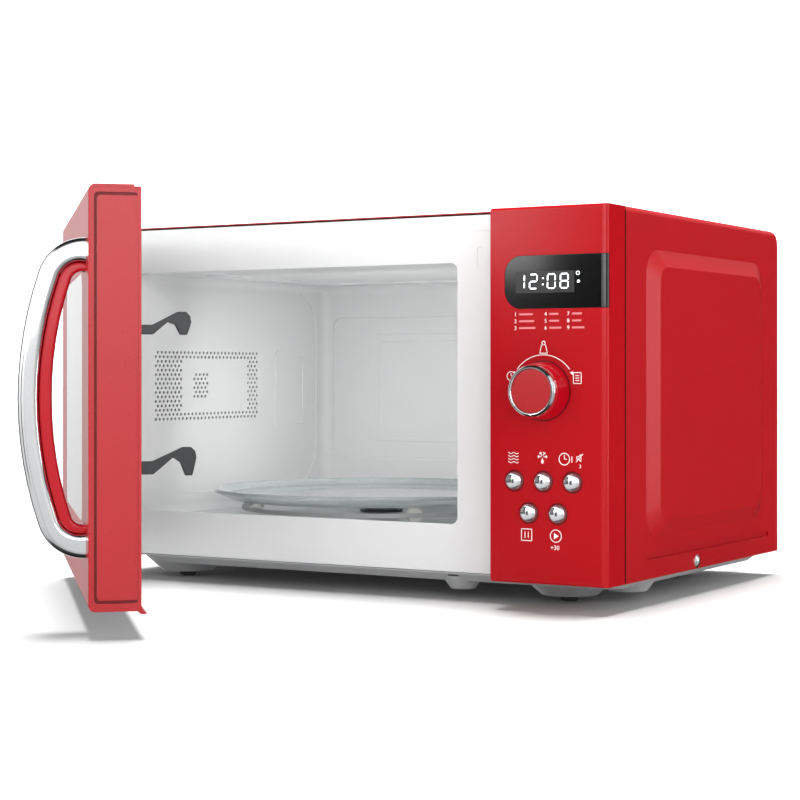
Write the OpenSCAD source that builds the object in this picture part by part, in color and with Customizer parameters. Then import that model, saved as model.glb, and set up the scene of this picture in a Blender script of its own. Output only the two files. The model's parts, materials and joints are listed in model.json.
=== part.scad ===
// Countertop microwave oven with a side-hung door, a roller-ring turntable and
// a control panel with a display, one turning knob and five push buttons.
// +X is to the right, +Y to the back, +Z up. The origin lies on the counter, in
// the middle of the oven's outline with its door standing open.

/* [Cabinet] */
// Width of the casing
body_w = 440; // [436:1:480]
// Height of the casing, without the feet
body_h = 242; // [236:1:280]
// Depth of the casing behind the door
body_d = 277.5; // [276:0.5:310]
// Height of the casing's lower edge over the counter
lift = 18; // [16:0.5:26]
// Sheet thickness of the casing, base and back
casing_t = 0.8; // [0.6:0.1:1.2]
// Radius of the casing's long upper edges
casing_r = 4; // [3:0.5:8]
// Radius of the casing's upper rear edge
casing_rear_r = 12; // [8:1:20]
// How far the pressed side panels stand out
side_raise = 4.5; // [2:0.5:6]
// Width of the slope around a pressed side panel
side_bevel = 13; // [8:1:18]
// Distance from the front plate to the pressed side panel
side_front = 32.5; // [25:0.5:45]
// Distance from the pressed side panel to the back
side_rear = 34; // [25:1:45]
// Distance from the casing's lower edge to the pressed side panel
side_low = 27; // [22:1:35]
// Distance from the pressed side panel to the top
side_high = 26; // [16:1:35]
// Height of the groove low on each side, over the casing's lower edge
groove_z = 14.5; // [12:0.5:18]
// Distance from the middle of the oven to its feet, across
foot_x = 160; // [140:1:170]
// Distance from the door's front face to the front feet
foot_front = 73; // [66:1:90]
// Distance from the back of the casing to the rear feet
foot_rear = 61; // [50:1:80]
// Depth of the pressed base pan below the casing's lower edge
pan_drop = 5.5; // [4:0.5:8]
// Diameter of a rubber foot
foot_d = 12; // [9:0.5:16]
// Height of rubber below a foot's pressed boss
foot_rubber = 4.5; // [3:0.5:6]
// Diameter of a foot's pressed boss at its lower end
boss_d = 38; // [28:1:42]
// How much wider a foot's pressed boss is at the pan
boss_flare = 26; // [16:1:30]

/* [Door] */
// Angle that the door stands open
door_open_deg = 46.7; // [0:0.1:90]
// Thickness of the door
door_t = 30.2; // [26:0.1:34]
// Gap between the shut door and the front plate
door_gap = 1; // [1:0.1:2]
// Gap between the door and the control panel
door_side_gap = 1.5; // [1.2:0.1:3]
// Distance from the door's hinge side to the hinge pin's axis
pin_inset = 8.5; // [8:0.1:9]
// Distance from the door's inner face to the hinge pin's axis
pin_depth = 9.5; // [9:0.1:10]
// Diameter of the hinge pins
pin_d = 6; // [4:0.5:7]
// Wall of the door's moulded frame
door_wall = 2.5; // [2:0.1:3.5]
// Thickness of the door's front face
door_face = 4.6; // [4:0.1:6]
// Radius of the door's upper and lower front edges
door_edge_r = 4; // [3:0.5:6]
// Wall of the door at its free edge
edge_wall = 4.6; // [4:0.1:5]
// Distance from the door's sides to its window
window_side = 70; // [60:1:90]
// Distance from the door's top and bottom to its window
window_high = 45; // [38:1:60]
// Corner radius of the window
window_r = 14; // [8:1:24]
// Thickness of the door's glass
glass_t = 3.2; // [2.5:0.1:4]
// Distance between holes in the door's steel screen
screen_pitch = 9; // [8:0.5:14]
// Width of a hole in the door's steel screen
screen_hole_d = 6.4; // [5:0.1:7]

/* [Handle] */
// How far the handle stands out from the door
handle_reach = 39; // [34:0.1:46]
// Height of the handle from end to end
handle_h = 188.1; // [150:0.1:200]
// Width of the handle
handle_w = 20; // [16:0.5:26]
// Radius of the handle's long bow
handle_bow = 236; // [200:1:400]
// Depth of the bright shell at the grip
shell_t = 12; // [10:0.1:13]
// Depth of the bright shell at the door
shell_end_t = 15; // [14:0.1:16]
// Depth of the coloured liner inside the shell
liner_t = 5; // [4:0.1:6]
// Distance from the door's free edge to the middle of the handle
handle_inset = 36; // [30:0.5:45]

/* [Latch] */
// Height between the two latch hooks
hook_span = 80; // [70:1:95]
// How far the hooks stick out of the door
hook_reach = 32.3; // [30:0.1:36]
// Thickness of a hook
hook_t = 5; // [4:0.1:6]
// Distance from the door's free edge to the middle of the hooks
hook_inset = 9; // [8.5:0.1:10]
// How far the latch rises as it snaps in
latch_travel = 4; // [3:0.5:4.5]

/* [Cavity] */
// Width of the bay for the electronics, to the right of the cavity
bay_w = 122; // [118:1:128]
// Distance from the cavity's ceiling to the casing's top
cavity_top = 33.5; // [28:0.5:40]
// Distance from the cavity to the back of the casing
cavity_back = 14; // [11.5:0.5:16]
// Distance from the casing's left side to the cavity
cavity_side = 38; // [34:1:42]
// Height of the cavity floor over the casing's lower edge
floor_rise = 27.5; // [26:0.5:30]
// Sheet thickness of the cavity and front plate
sheet_t = 0.8; // [0.6:0.1:1]
// Width of a vent hole in the cavity wall
vent_d = 2.5; // [2:0.1:2.8]
// Distance between vent holes in a row
vent_pitch = 4.8; // [4.4:0.1:5.2]
// Distance between rows of vent holes
vent_row = 3.4; // [3.2:0.1:3.8]
// Height of the step below the cavity's front opening
sill = 6; // [4:0.5:8]

/* [Turntable] */
// Gap between the glass tray and the cavity's side walls
tray_side_gap = 12.5; // [10:0.5:25]
// Gap between the glass tray and the cavity's back, with as much again in front
tray_end_gap = 4.25; // [4:0.25:15]
// Thickness of the glass tray's floor
tray_t = 4; // [3:0.1:5]
// Height of the tray's rim over its underside
tray_rim = 8.7; // [7:0.1:12]
// Diameter of the rollers
roller_d = 11.4; // [10:0.1:13]
// Width of a roller
roller_w = 6; // [5:0.5:7]
// Distance from the glass tray's rim to the middle of a roller
roller_inset = 27.5; // [24:0.5:36]
// Radial width of the roller ring's band
ring_w = 3; // [2.5:0.1:5]
// Height of the roller ring's band
ring_h = 3; // [2:0.1:4]
// Diameter of the coupler's disc
coupler_d = 33; // [28:1:40]

/* [Control panel] */
// How far the control panel lies behind the front face of the shut door
panel_set = 2.7; // [0:0.1:4]
// Width of the control panel
panel_w = 82.5; // [80:0.5:90]
// Wall of the control panel
panel_wall = 2.5; // [2:0.1:3]
// Radius of the control panel's right edge
panel_r = 4; // [3:0.5:6]
// Radius of the control panel's upper and lower front edges
panel_edge_r = 2.5; // [2:0.5:3]
// Distance from the panel's top to the middle of the display
display_down = 49; // [40:1:55]
// Height of the display window
display_h = 34; // [28:1:40]
// Distance from the panel's left edge to the display window
display_side = 10.5; // [8:0.5:14]
// Corner radius of the display window's left end
display_r = 12; // [6:0.5:13]
// Distance from the panel's top to the middle of the knob
knob_down = 118.5; // [110:0.5:125]
// Distance from the panel's left edge to the middle of the knob
knob_side = 38.2; // [36:0.1:44]
// Diameter of the knob at the panel
knob_d = 37.6; // [30:0.1:42]
// Diameter of the knob's bright ring
knob_ring_d = 33.4; // [28:0.1:36]
// Length of the knob's coloured skirt
knob_skirt = 13.3; // [9:0.1:16]
// How far the bright ring stands out from the skirt
knob_ring_h = 4.7; // [3:0.1:6]
// Diameter of the knob's spindle
spindle_d = 6; // [5:0.5:7]
// Diameter of a push button
button_d = 11.4; // [9:0.1:13]
// Diameter of the round recess around a button
button_recess_d = 14; // [13.2:0.1:16]
// Distance between buttons across
button_pitch = 20.7; // [19:0.1:22]
// Distance between the two rows of buttons
button_rows = 20.3; // [17:0.1:24]
// Height of the lower row of buttons over the panel's lower edge
button_low = 45.4; // [40:0.1:50]
// How far a button goes in
button_travel = 1.5; // [1:0.1:2]

/* [Cooling fan] */
// Diameter of the fan
fan_d = 96; // [80:1:98]
// Number of fan blades
fan_blades = 5; // [4:1:7]

/* [Hidden] */

$fn = 48;
eps = 0.01;
fit = 0.2;          // gap between sheets that are screwed or clipped together
running = 0.05;     // radial gap of a turning fit
clear = 0.3;        // gap around pieces that move past each other

// Depths count from the door's front face, heights from the counter.
plate_y = door_t + door_gap;
plate_back = plate_y + sheet_t;
rear_y = plate_y + body_d;
front_y = -32.2;
right_x = body_w / 2;
low_z = lift;
top_z = lift + body_h;
plate_top = top_z - 1.9;
mid_z = (low_z + plate_top) / 2;
panel_d = plate_y - panel_set;
panel_top = top_z - 0.5;
panel_x = right_x - panel_w;
door_x = panel_x - door_side_gap;
door_w = door_x + right_x;
door_top = top_z + 1.2;
door_low = low_z - 1.7;
pin_x = pin_inset - right_x;
pin_y = door_t - pin_depth;

cavity_w = body_w - cavity_side - bay_w;
cavity_h = body_h - floor_rise - cavity_top;
cavity_d = body_d - cavity_back;
cavity_x = cavity_side - right_x;
cavity_right = cavity_x + cavity_w;
floor_z = low_z + floor_rise;
ceiling_z = floor_z + cavity_h;
cavity_y = plate_y + cavity_d;
bay_x = cavity_right + sheet_t;
bay_mid = (bay_x + right_x) / 2;
pan_z = low_z - pan_drop;
bay_floor = pan_z + casing_t;

tray_d = min(cavity_w - 2 * tray_side_gap, cavity_d - 2 * tray_end_gap);
tray_x = cavity_x + cavity_w / 2;
tray_y = plate_back + cavity_d / 2 - 3.5;
tray_z = floor_z + clear * 2 / 3 + roller_d + clear * 2 / 3;
roller_z = floor_z + clear * 2 / 3 + roller_d / 2;
roller_orbit = tray_d / 2 - roller_inset;
roller_angles = [75, 195, 315];
axle_d = 2.6;
platform_d = 62;
platform_h = 1.5;
coupler_z = floor_z + platform_h + clear;
shaft_d = 7;

vent_rows = 16;
vent_columns = 28;
vent_y = plate_y + 32;
vent_z = mid_z - 20.5;
rib_low = [cavity_y - 73.5, mid_z - 34];
rib_high = [cavity_y - 27.5, mid_z + 34];

guide_y = plate_y + 120;
guide_z = mid_z + 6;
guide_w = 26;
guide_len = 96;
mouth_w = 56;
mouth_h = 40;
magnetron_y = guide_y + 28;
lamp_y = plate_y + 88;
lamp_z = ceiling_z - 20;
filter_y = rear_y - 127.5;
cap_y = rear_y - 81.5;
transformer_y = cap_y - 79;
fan_z = mid_z + 2;
fan_y = rear_y - 36;

side_screw = [plate_y + 118.2, low_z + 5];
screw_hole_d = 4.4;
rear_screws = [
    [30 - right_x, low_z + 30], [-60, low_z + 16], [right_x - 20, low_z + 12],
    [30 - right_x, top_z - 30], [right_x - 30, top_z - 30]
];
gland_x = right_x - 40;
gland_z = low_z + 34;
gland_d = 16;
gland_bore = 7.4;

pan_low = [-right_x + 40, plate_back + 4];
pan_high = [right_x - 6, rear_y - 12];
feet = [for (x = [-foot_x, foot_x], y = [foot_front, rear_y - foot_rear]) [x, y]];
foot_stem = 5;

hook_x = door_x - hook_inset;
hook_sweep = norm([hook_x - pin_x, door_t + hook_reach - pin_y]) - (hook_x - pin_x);
latch_z = mid_z;
catch_x = hook_x + hook_t / 2 + hook_sweep + 1.2;

hinge_arm = 3;
hinge_slot = 4.4;
hinge_inset = 6;
cover_t = 5;
cover_y = door_t - cover_t;
cover_side = door_x - edge_wall - fit;
stile_w = 22;
window_w = door_w - 2 * window_side;
window_h = body_h - 2 * window_high;
screen_y = door_face + glass_t + 4.2;
screen_low = [-right_x + 30, low_z + 10];
screen_high = [door_x - 20, door_top - 10];

handle_x = door_x - handle_inset;
handle_mid = mid_z + 0.3;
handle_screw_z = [for (s = [-1, 1]) handle_mid + s * (handle_h / 2 - shell_end_t / 2)];
corner_r = (pow(handle_bow, 2) - pow(handle_bow - handle_reach, 2) - pow(handle_h / 2, 2))
    / (2 * (handle_bow - handle_h / 2));
bow_half = asin((handle_h / 2 - corner_r) / (handle_bow - corner_r));
liner_gap = 2.6;

knob_x = panel_x + knob_side;
knob_z = top_z - knob_down;
knob_reach = knob_skirt + knob_ring_h;
display_z = top_z - display_down;
display_t = 1.6;
board_y = 15;
board_t = 1.6;
boss_places = [
    for (x = [panel_x + 12, right_x - 12.5], z = [low_z + 16, knob_z - 11.5, top_z - 16]) [x, z]
];
button_places = [
    [-button_pitch, button_rows], [0, button_rows], [button_pitch, button_rows],
    [-button_pitch / 2, 0], [button_pitch / 2, 0]
];

// ---- shared helpers -------------------------------------------------------

// Puts a child given from the door's front face into the oven's frame.
module cabinet() {
    translate([0, front_y, 0]) children();
}

// The same for the control panel's pieces, given from the panel's front face.
module column() {
    cabinet() translate([0, panel_set, 0]) children();
}

// The same for what hangs on the door, which stands open about its pins.
module door() {
    cabinet() translate([pin_x, pin_y, 0]) rotate([0, 0, -door_open_deg])
        translate([-pin_x, -pin_y, 0]) children();
}

// Extrudes an (x, z) outline to the back from y.
module along_y(y, depth) {
    translate([0, y + depth, 0]) rotate([90, 0, 0]) linear_extrude(depth) children();
}

// Extrudes a (y, z) outline to the right from x.
module along_x(x, length) {
    translate([x, 0, 0]) rotate([90, 0, 90]) linear_extrude(length) children();
}

// Rectangle from one corner to the opposite one, with round corners.
module round_rect(low, high, r) {
    size = high - low;
    translate(low) {
        translate([r, 0]) square([size.x - 2 * r, size.y]);
        translate([0, r]) square([size.x, size.y - 2 * r]);
        for (x = [r, size.x - r], y = [r, size.y - r]) translate([x, y]) circle(r);
    }
}

// Box from one corner to the opposite one.
module block(low, high) {
    translate(low) cube(high - low);
}

// A rod along Y from one depth to another.
module rod_y(x, z, d, from, to) {
    translate([x, to, z]) rotate([90, 0, 0]) cylinder(d = d, h = to - from);
}

// Closed skin over rings of points, each ring with as many points as the next.
module skin(rings) {
    m = len(rings[0]);
    last = (len(rings) - 1) * m;
    polyhedron(
        points = [for (ring = rings) each ring],
        faces = [
            [for (j = [0:m - 1]) j],
            [for (j = [m - 1:-1:0]) last + j],
            for (i = [0:len(rings) - 2], j = [0:m - 1]) let (a = i * m, k = (j + 1) % m)
                [a + j, a + m + j, a + k],
            for (i = [0:len(rings) - 2], j = [0:m - 1]) let (a = i * m, k = (j + 1) % m)
                [a + k, a + m + j, a + m + k]
        ],
        convexity = 6
    );
}

// ---- cabinet --------------------------------------------------------------

// Outline of the side, seen from the right, with the upper rear corner rounded.
module side_outline(inset, low) {
    r = casing_rear_r - inset;
    front = plate_y - (inset > 0 ? 1 : 0);
    square_top = top_z - inset;
    back = rear_y - inset;
    translate([front, low]) square([back - front - r, square_top - low]);
    translate([front, low]) square([back - front, square_top - low - r]);
    translate([back - r, square_top - r]) circle(r);
}

// Outline of the casing from the front, with its upper edges rounded.
module front_outline(inset, low) {
    r = casing_r - inset;
    half = right_x - inset;
    translate([-half, low]) square([2 * half, top_z - inset - low - r]);
    translate([r - half, low]) square([2 * (half - r), top_z - inset - low]);
    for (s = [-1, 1]) translate([s * (half - r), top_z - inset - r]) circle(r);
}

// One pressed side panel: a flat field with a sloping border.
module side_panel(inset) {
    low = [plate_y + side_front, low_z + side_low];
    high = [rear_y - side_rear, top_z - side_high];
    step = [side_bevel, side_bevel * 0.85];
    hull() {
        along_x(right_x - casing_t - 1, casing_t + 1 - inset + eps)
            round_rect(low + [inset, inset] / 2, high - [inset, inset] / 2, 18, $fn = 32);
        along_x(right_x, side_raise - inset) round_rect(low + step, high - step, 12, $fn = 32);
    }
}

// Groove pressed inwards low on each side.
module side_groove(inset) {
    along_x(right_x - 1.2 - inset, 3)
        round_rect(
            [plate_y + side_front - 2 - inset, low_z + groove_z - 1.8 - inset],
            [rear_y - 20 + inset, low_z + groove_z + 1.8 + inset], 1.7 + inset);
}

module casing_form(inset, low) {
    intersection() {
        along_x(-right_x, body_w) side_outline(inset, low);
        along_y(0, rear_y + 1) front_outline(inset, low);
    }
}

module outer_casing() {
    color("firebrick") cabinet() difference() {
        union() {
            casing_form(0, low_z);
            for (s = [0, 1]) mirror([s, 0, 0]) side_panel(0);
        }
        difference() {
            union() {
                casing_form(casing_t, low_z - 1);
                for (s = [0, 1]) mirror([s, 0, 0]) side_panel(casing_t);
            }
            for (s = [0, 1]) mirror([s, 0, 0]) side_groove(casing_t);
        }
        for (s = [0, 1]) mirror([s, 0, 0]) side_groove(0);
        block([-right_x + casing_t, rear_y - 3, low_z - 1],
            [right_x - casing_t, rear_y + 1, top_z - casing_rear_r]);
        along_x(-right_x - 1, body_w + 2) translate(side_screw) circle(d = screw_hole_d);
    }
}

// Rows of louvre slots in the back, over the fan and at the left for the cavity's steam.
module back_slots(x, z, columns, rows, length) {
    for (c = [0:columns - 1], r = [0:rows - 1])
        along_y(rear_y - 6, 8)
            translate([x + c * (length + 6), z + r * 8]) round_rect([0, 0], [length, 4], 1.9);
}

module back_panel() {
    back = rear_y - casing_t - fit;
    low = [-right_x + 1, low_z + 1];
    high = [right_x - 1, top_z - casing_rear_r - fit];
    wall = [casing_t, casing_t];
    color("silver") cabinet() difference() {
        union() {
            along_y(back - casing_t, casing_t) round_rect(low, high, 3);
            difference() {
                along_y(back - 12, 12 - casing_t) round_rect(low, high, 3);
                along_y(back - 13, 14) round_rect(low + wall, high - wall, 3 - casing_t);
            }
        }
        back_slots(bay_mid - 45, fan_z - 44, 3, 11, 26);
        back_slots(-right_x + 24, ceiling_z - 70, 4, 7, 20);
        rod_y(gland_x, gland_z, gland_d + 2 * running, back - 20, back + 5);
        for (p = rear_screws) rod_y(p.x, p.y, 3.6, back - 5, back + 5);
    }
}

// Moulded bush that the mains cord leaves through.
module cord_gland() {
    back = rear_y - casing_t - fit;
    color("dimgray") cabinet() difference() {
        union() {
            rod_y(gland_x, gland_z, gland_d, back - casing_t - 6, back + eps);
            rod_y(gland_x, gland_z, gland_d + 6, back, back + 3);
            rod_y(gland_x, gland_z, gland_d - 3, back, back + 9);
            rod_y(gland_x, gland_z, gland_d + 3, back - casing_t - 9, back - casing_t - 0.1);
        }
        rod_y(gland_x, gland_z, gland_bore, back - 20, back + 20);
    }
}

// Tapered tray, wider at its top, that the pressed base is made of.
module tub(low, high, r, z0, z1, draft) {
    hull() {
        translate([0, 0, z1 - eps]) linear_extrude(eps) round_rect(low, high, r, $fn = 32);
        translate([0, 0, z0]) linear_extrude(eps)
            round_rect(low + [draft, draft], high - [draft, draft], r, $fn = 32);
    }
}

// Bosses pressed down for the feet, with two smaller ones that only stiffen the front.
module pan_bosses(inset) {
    for (p = feet) translate([p.x, p.y, foot_rubber + inset])
        cylinder(d1 = boss_d - inset, d2 = boss_d + boss_flare - inset, h = low_z - foot_rubber - 2);
    for (p = [[right_x - 28, foot_front + 24, 26], [90, plate_back + 20, 17]])
        translate([p.x, p.y, foot_rubber + 2 + inset])
            cylinder(d1 = p.z - inset, d2 = p.z + 14 - inset, h = low_z - foot_rubber - 4);
}

// Pressed steel base with a folded rim, four foot bosses and cooling slots.
module base_pan() {
    color("gray") cabinet() difference() {
        union() {
            tub(pan_low, pan_high, 16, pan_z, low_z, 6);
            pan_bosses(0);
            translate([0, 0, low_z]) linear_extrude(casing_t)
                round_rect([-right_x + 1.2, plate_back + 1], [right_x - 1.2, rear_y - 14], 3);
            for (s = [0, 1]) mirror([s, 0, 0])
                block([right_x - 1.2 - casing_t, plate_back + 9, low_z + eps],
                    [right_x - 1.2, rear_y - 15, low_z + 10]);
        }
        tub(pan_low + [casing_t, casing_t], pan_high - [casing_t, casing_t], 15.2,
            pan_z + casing_t, low_z + casing_t + eps, 6);
        pan_bosses(casing_t);
        for (p = feet) translate([p.x, p.y, 0]) cylinder(d = foot_stem, h = 20);
        for (i = [0:9]) translate([bay_x + 8, plate_back + 92 + i * 9, 0])
            linear_extrude(40) round_rect([0, 0], [30, 4], 1.9);
        along_x(-right_x - 1, body_w + 2) translate(side_screw) circle(d = screw_hole_d - 1.2);
    }
}

// Push-in rubber feet, as one group.
module rubber_feet() {
    color("black") cabinet() for (p = feet) translate([p.x, p.y, 0]) {
        cylinder(d1 = foot_d - 1.6, d2 = foot_d, h = 1.2);
        translate([0, 0, 1.2]) cylinder(d = foot_d, h = foot_rubber - 1.2);
        translate([0, 0, foot_rubber - eps]) cylinder(d = foot_stem - 0.1, h = casing_t + 0.6);
        translate([0, 0, foot_rubber + casing_t + 0.1])
            cylinder(d1 = foot_stem + 2, d2 = foot_stem - 1, h = 3);
    }
}

// Dome-headed screws in the casing's sides and back, as one group.
module casing_screws() {
    back = rear_y - casing_t - fit;
    color("silver") cabinet() {
        for (s = [0, 1]) mirror([s, 0, 0]) translate([right_x, side_screw.x, side_screw.y])
            rotate([0, 90, 0]) rotate_extrude() polygon([
                [0, -8], [1.55, -8], [1.55, 0], [4.5, 0],
                for (x = [4.5, 3.9, 3, 2, 1, 0]) [x, 2.3 - x * x / 10]
            ]);
        for (p = rear_screws) translate([p.x, back, p.y]) rotate([-90, 0, 0]) {
            cylinder(d1 = 8, d2 = 6, h = 2);
            translate([0, 0, -7]) cylinder(d = 3.4, h = 7 + eps);
        }
    }
}

// ---- front plate and cavity -----------------------------------------------

// A strip pressed into the front plate, given by two corners.
module pressed_strip(low, high) {
    along_y(plate_y - 1, 1.4) round_rect(low, high, min(high.x - low.x, high.y - low.y) / 2 - eps);
}

module latch_slots() {
    low = [hook_x - hook_t / 2 - 0.8, plate_y - 2, latch_z - 7];
    high = [hook_x + hook_t / 2 + hook_sweep + 0.8, plate_back + 2, latch_z + 12.5 + latch_travel];
    for (s = [-1, 1]) translate([0, 0, s * hook_span / 2]) block(low, high);
}

// Enamelled steel plate around the cavity's mouth, folded back at its outer edge.
module front_plate() {
    low = [-right_x + casing_t + fit, low_z + casing_t + 0.6];
    high = [right_x - casing_t - fit, plate_top];
    wall = [sheet_t, sheet_t];
    r = casing_r - casing_t;
    color("white") cabinet() difference() {
        union() {
            along_y(plate_y, sheet_t) round_rect(low, high, r);
            difference() {
                along_y(plate_y, 8) round_rect(low, high, r);
                along_y(plate_y - 1, 10) round_rect(low + wall, high - wall, r - sheet_t / 2);
            }
            for (s = plate_strips) translate([0, sheet_t + 0.4, 0]) difference() {
                pressed_strip(s[0] - wall, s[1] + wall);
                block([-right_x, -1, -1], [right_x, plate_y - 0.6, top_z]);
            }
        }
        along_y(plate_y - 1, 3 + sheet_t)
            round_rect([cavity_x + 2, floor_z + sill], [cavity_right - 1, ceiling_z + fit], 5);
        for (s = plate_strips) pressed_strip(s[0], s[1]);
        latch_slots();
        along_y(plate_y - 1, 10) for (z = [low_z + 60, top_z - 60])
            round_rect([panel_x + 26, z - 14], [panel_x + 50, z + 14], 6);
    }
}

plate_strips = [
    [[cavity_right - 8, plate_top - 16], [panel_x - 4, plate_top - 10.5]],
    [[cavity_right + 14, ceiling_z - 3.8], [cavity_right + 19.5, plate_top - 21]],
    [[-right_x + 30, plate_top - 16], [-right_x + 53.5, plate_top - 10.5]]
];

// Rows of vent holes, each half a hole along from the next, around a bare middle.
module vent_field(y, z, columns, rows, bare_low, bare_high) {
    for (c = [0:columns - 1], r = [0:rows - 1])
        if (c < bare_low.x || c > bare_high.x || r < bare_low.y || r > bare_high.y)
            translate([y + (c + (r % 2) / 2) * vent_pitch, z + r * vent_row]) circle(d = vent_d, $fn = 8);
}

// A field pressed outwards by step from a wall outline, given in (y, z) or (x, z).
module pressed_wall(low, high, field_low, field_high, r, step) {
    linear_extrude(sheet_t) difference() {
        translate(low) square(high - low);
        round_rect(field_low, field_high, r);
    }
    translate([0, 0, step]) linear_extrude(sheet_t) round_rect(field_low, field_high, r);
    linear_extrude(sheet_t + step) difference() {
        round_rect(field_low, field_high, r);
        round_rect(field_low + [sheet_t, sheet_t], field_high - [sheet_t, sheet_t], r - sheet_t);
    }
}

module cavity_left_wall() {
    low = [plate_back, floor_z - sheet_t];
    high = [cavity_y, ceiling_z + sheet_t];
    color("whitesmoke") cabinet() mirror([1, 0, 0]) translate([-cavity_x, 0, 0]) rotate([90, 0, 90])
        difference() {
            union() {
                pressed_wall(low, high, low + [22, 14], high - [12, 6], 34, 1.2);
                linear_extrude(1.2 + eps) difference() {
                    round_rect(rib_low, rib_high, 5);
                    round_rect(rib_low + [6, 6], rib_high - [6, 6], 3);
                }
            }
            translate([0, 0, -1]) linear_extrude(5) {
                vent_field(vent_y, vent_z, vent_columns, vent_rows, [7, 2], [24, 13]);
                vent_field(vent_y + 10 * vent_pitch, vent_z + 5 * vent_row, 4, 6, [9, 9], [9, 9]);
            }
        }
}

// The right wall carries the waveguide's mouth and a lamp grid.
module cavity_right_wall() {
    low = [plate_back, floor_z - sheet_t];
    high = [cavity_y, ceiling_z + sheet_t];
    color("whitesmoke") cabinet() translate([cavity_right, 0, 0]) rotate([90, 0, 90]) difference() {
        linear_extrude(sheet_t) difference() {
            translate(low) square(high - low);
            round_rect([guide_y - mouth_w / 2, guide_z - mouth_h / 2],
                [guide_y + mouth_w / 2, guide_z + mouth_h / 2], 4);
        }
        translate([0, 0, -1]) linear_extrude(3)
            vent_field(lamp_y - 3 * vent_pitch, lamp_z - 1.5 * vent_row, 6, 4, [9, 9], [9, 9]);
    }
}

module cavity_ceiling() {
    low = [cavity_x, plate_back];
    high = [cavity_right, cavity_y];
    color("whitesmoke") cabinet() translate([0, 0, ceiling_z])
        pressed_wall(low, high, low + [30, 30], high - [30, 30], 30, 1.5);
}

// Floor with the raised round platform that the coupler sits on.
module cavity_floor() {
    color("whitesmoke") cabinet() difference() {
        union() {
            block([cavity_x, plate_back, floor_z - sheet_t], [cavity_right, cavity_y, floor_z]);
            translate([tray_x, tray_y, floor_z - eps])
                cylinder(d1 = platform_d, d2 = platform_d - 6, h = platform_h + eps);
        }
        translate([tray_x, tray_y, floor_z - sheet_t - eps])
            cylinder(d1 = platform_d - 2, d2 = platform_d - 8, h = platform_h);
        translate([tray_x, tray_y, floor_z - 5]) cylinder(d = shaft_d + 3, h = 10);
    }
}

// Rear wall with two nested pressed rectangles.
module cavity_rear_wall() {
    low = [cavity_x - sheet_t, floor_z - sheet_t];
    high = [cavity_right + sheet_t, ceiling_z + sheet_t];
    color("whitesmoke") cabinet() translate([0, cavity_y, 0]) rotate([90, 0, 0]) mirror([0, 0, 1]) {
        pressed_wall(low, high, [cavity_x + 8, floor_z + 34], [cavity_right - 8, ceiling_z - 26], 8, 1.2);
        translate([0, 0, 0.6]) linear_extrude(0.6 + eps) difference() {
            round_rect([cavity_x + 49, floor_z + 50], [cavity_right - 49, ceiling_z - 41], 6);
            round_rect([cavity_x + 55, floor_z + 56], [cavity_right - 55, ceiling_z - 47], 3);
        }
    }
}

// ---- microwave generator and its bay --------------------------------------

// Sheet-metal duct from the magnetron to the cavity.
module waveguide() {
    low = [bay_x, guide_y - 40, guide_z - 28];
    high = [bay_x + guide_w, guide_y + guide_len - 40, guide_z + 28];
    color("lightgray") cabinet() difference() {
        union() {
            block(low, high);
            block([bay_x, low.y - 8, low.z - 6], [bay_x + 1, high.y + 8, high.z + 6]);
        }
        block([bay_x - 1, low.y + 1, low.z + 1], [high.x - 1, high.y - 1, high.z - 1]);
        translate([high.x - 3, magnetron_y, guide_z]) rotate([0, 90, 0]) cylinder(d = 27, h = 6);
    }
}

// Mica sheet over the waveguide's mouth, on the cavity side.
module waveguide_cover() {
    color("tan") cabinet() along_x(cavity_right - 0.5, 0.5) difference() {
        round_rect([guide_y - 42, guide_z - 30], [guide_y + 42, guide_z + 30], 5);
        for (s = [-1, 1]) translate([guide_y + s * 38, guide_z]) circle(d = 3);
    }
}

// Magnetron with its antenna, cooling fins, yoke and filter box.
module magnetron() {
    x0 = bay_x + guide_w;
    color("gainsboro") cabinet() translate([x0, magnetron_y, guide_z]) {
        difference() {
            block([0.05, -48, -40], [2, 48, 40]);
            for (y = [-42, 42], z = [-34, 34])
                translate([-1, y, z]) rotate([0, 90, 0]) cylinder(d = 4.5, h = 4);
        }
        difference() {
            block([2 - eps, -39, -35], [46, 39, 35]);
            block([3.6, -40, -33.4], [44.4, 40, 33.4]);
        }
        for (i = [0:7]) block([8 + i * 4.4, -37, -33.4 - eps], [8.8 + i * 4.4, 37, 33.4 + eps]);
        translate([-16, 0, 0]) rotate([0, 90, 0]) cylinder(d = 15, h = 60);
        translate([-18, 0, 0]) rotate([0, 90, 0]) cylinder(d = 12, h = 10);
        block([46 - eps, -29, -28], [66, 29, 28]);
    }
}

// Laminated core with two windings on a welded foot plate.
module hv_transformer() {
    color("darkgoldenrod") cabinet() translate([bay_mid + 2, transformer_y, bay_floor]) {
        block([-42, -44, 0.05], [42, 44, 2]);
        difference() {
            block([-36, -30, 2 - eps], [36, 30, 62]);
            for (x = [-19, 19]) block([x - 8, -31, 12], [x + 8, 31, 52]);
        }
        difference() {
            for (z = [12, 34]) translate([0, 0, z]) linear_extrude(16)
                round_rect([-26.5, -40], [26.5, 40], 10);
            block([-11 + eps, -30, 0], [11 - eps, 30, 70]);
            for (s = [-1, 1]) block([s * 23 - 5, -30, 70], [s * 23 + 5, 30, 71]);
        }
    }
}

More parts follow.
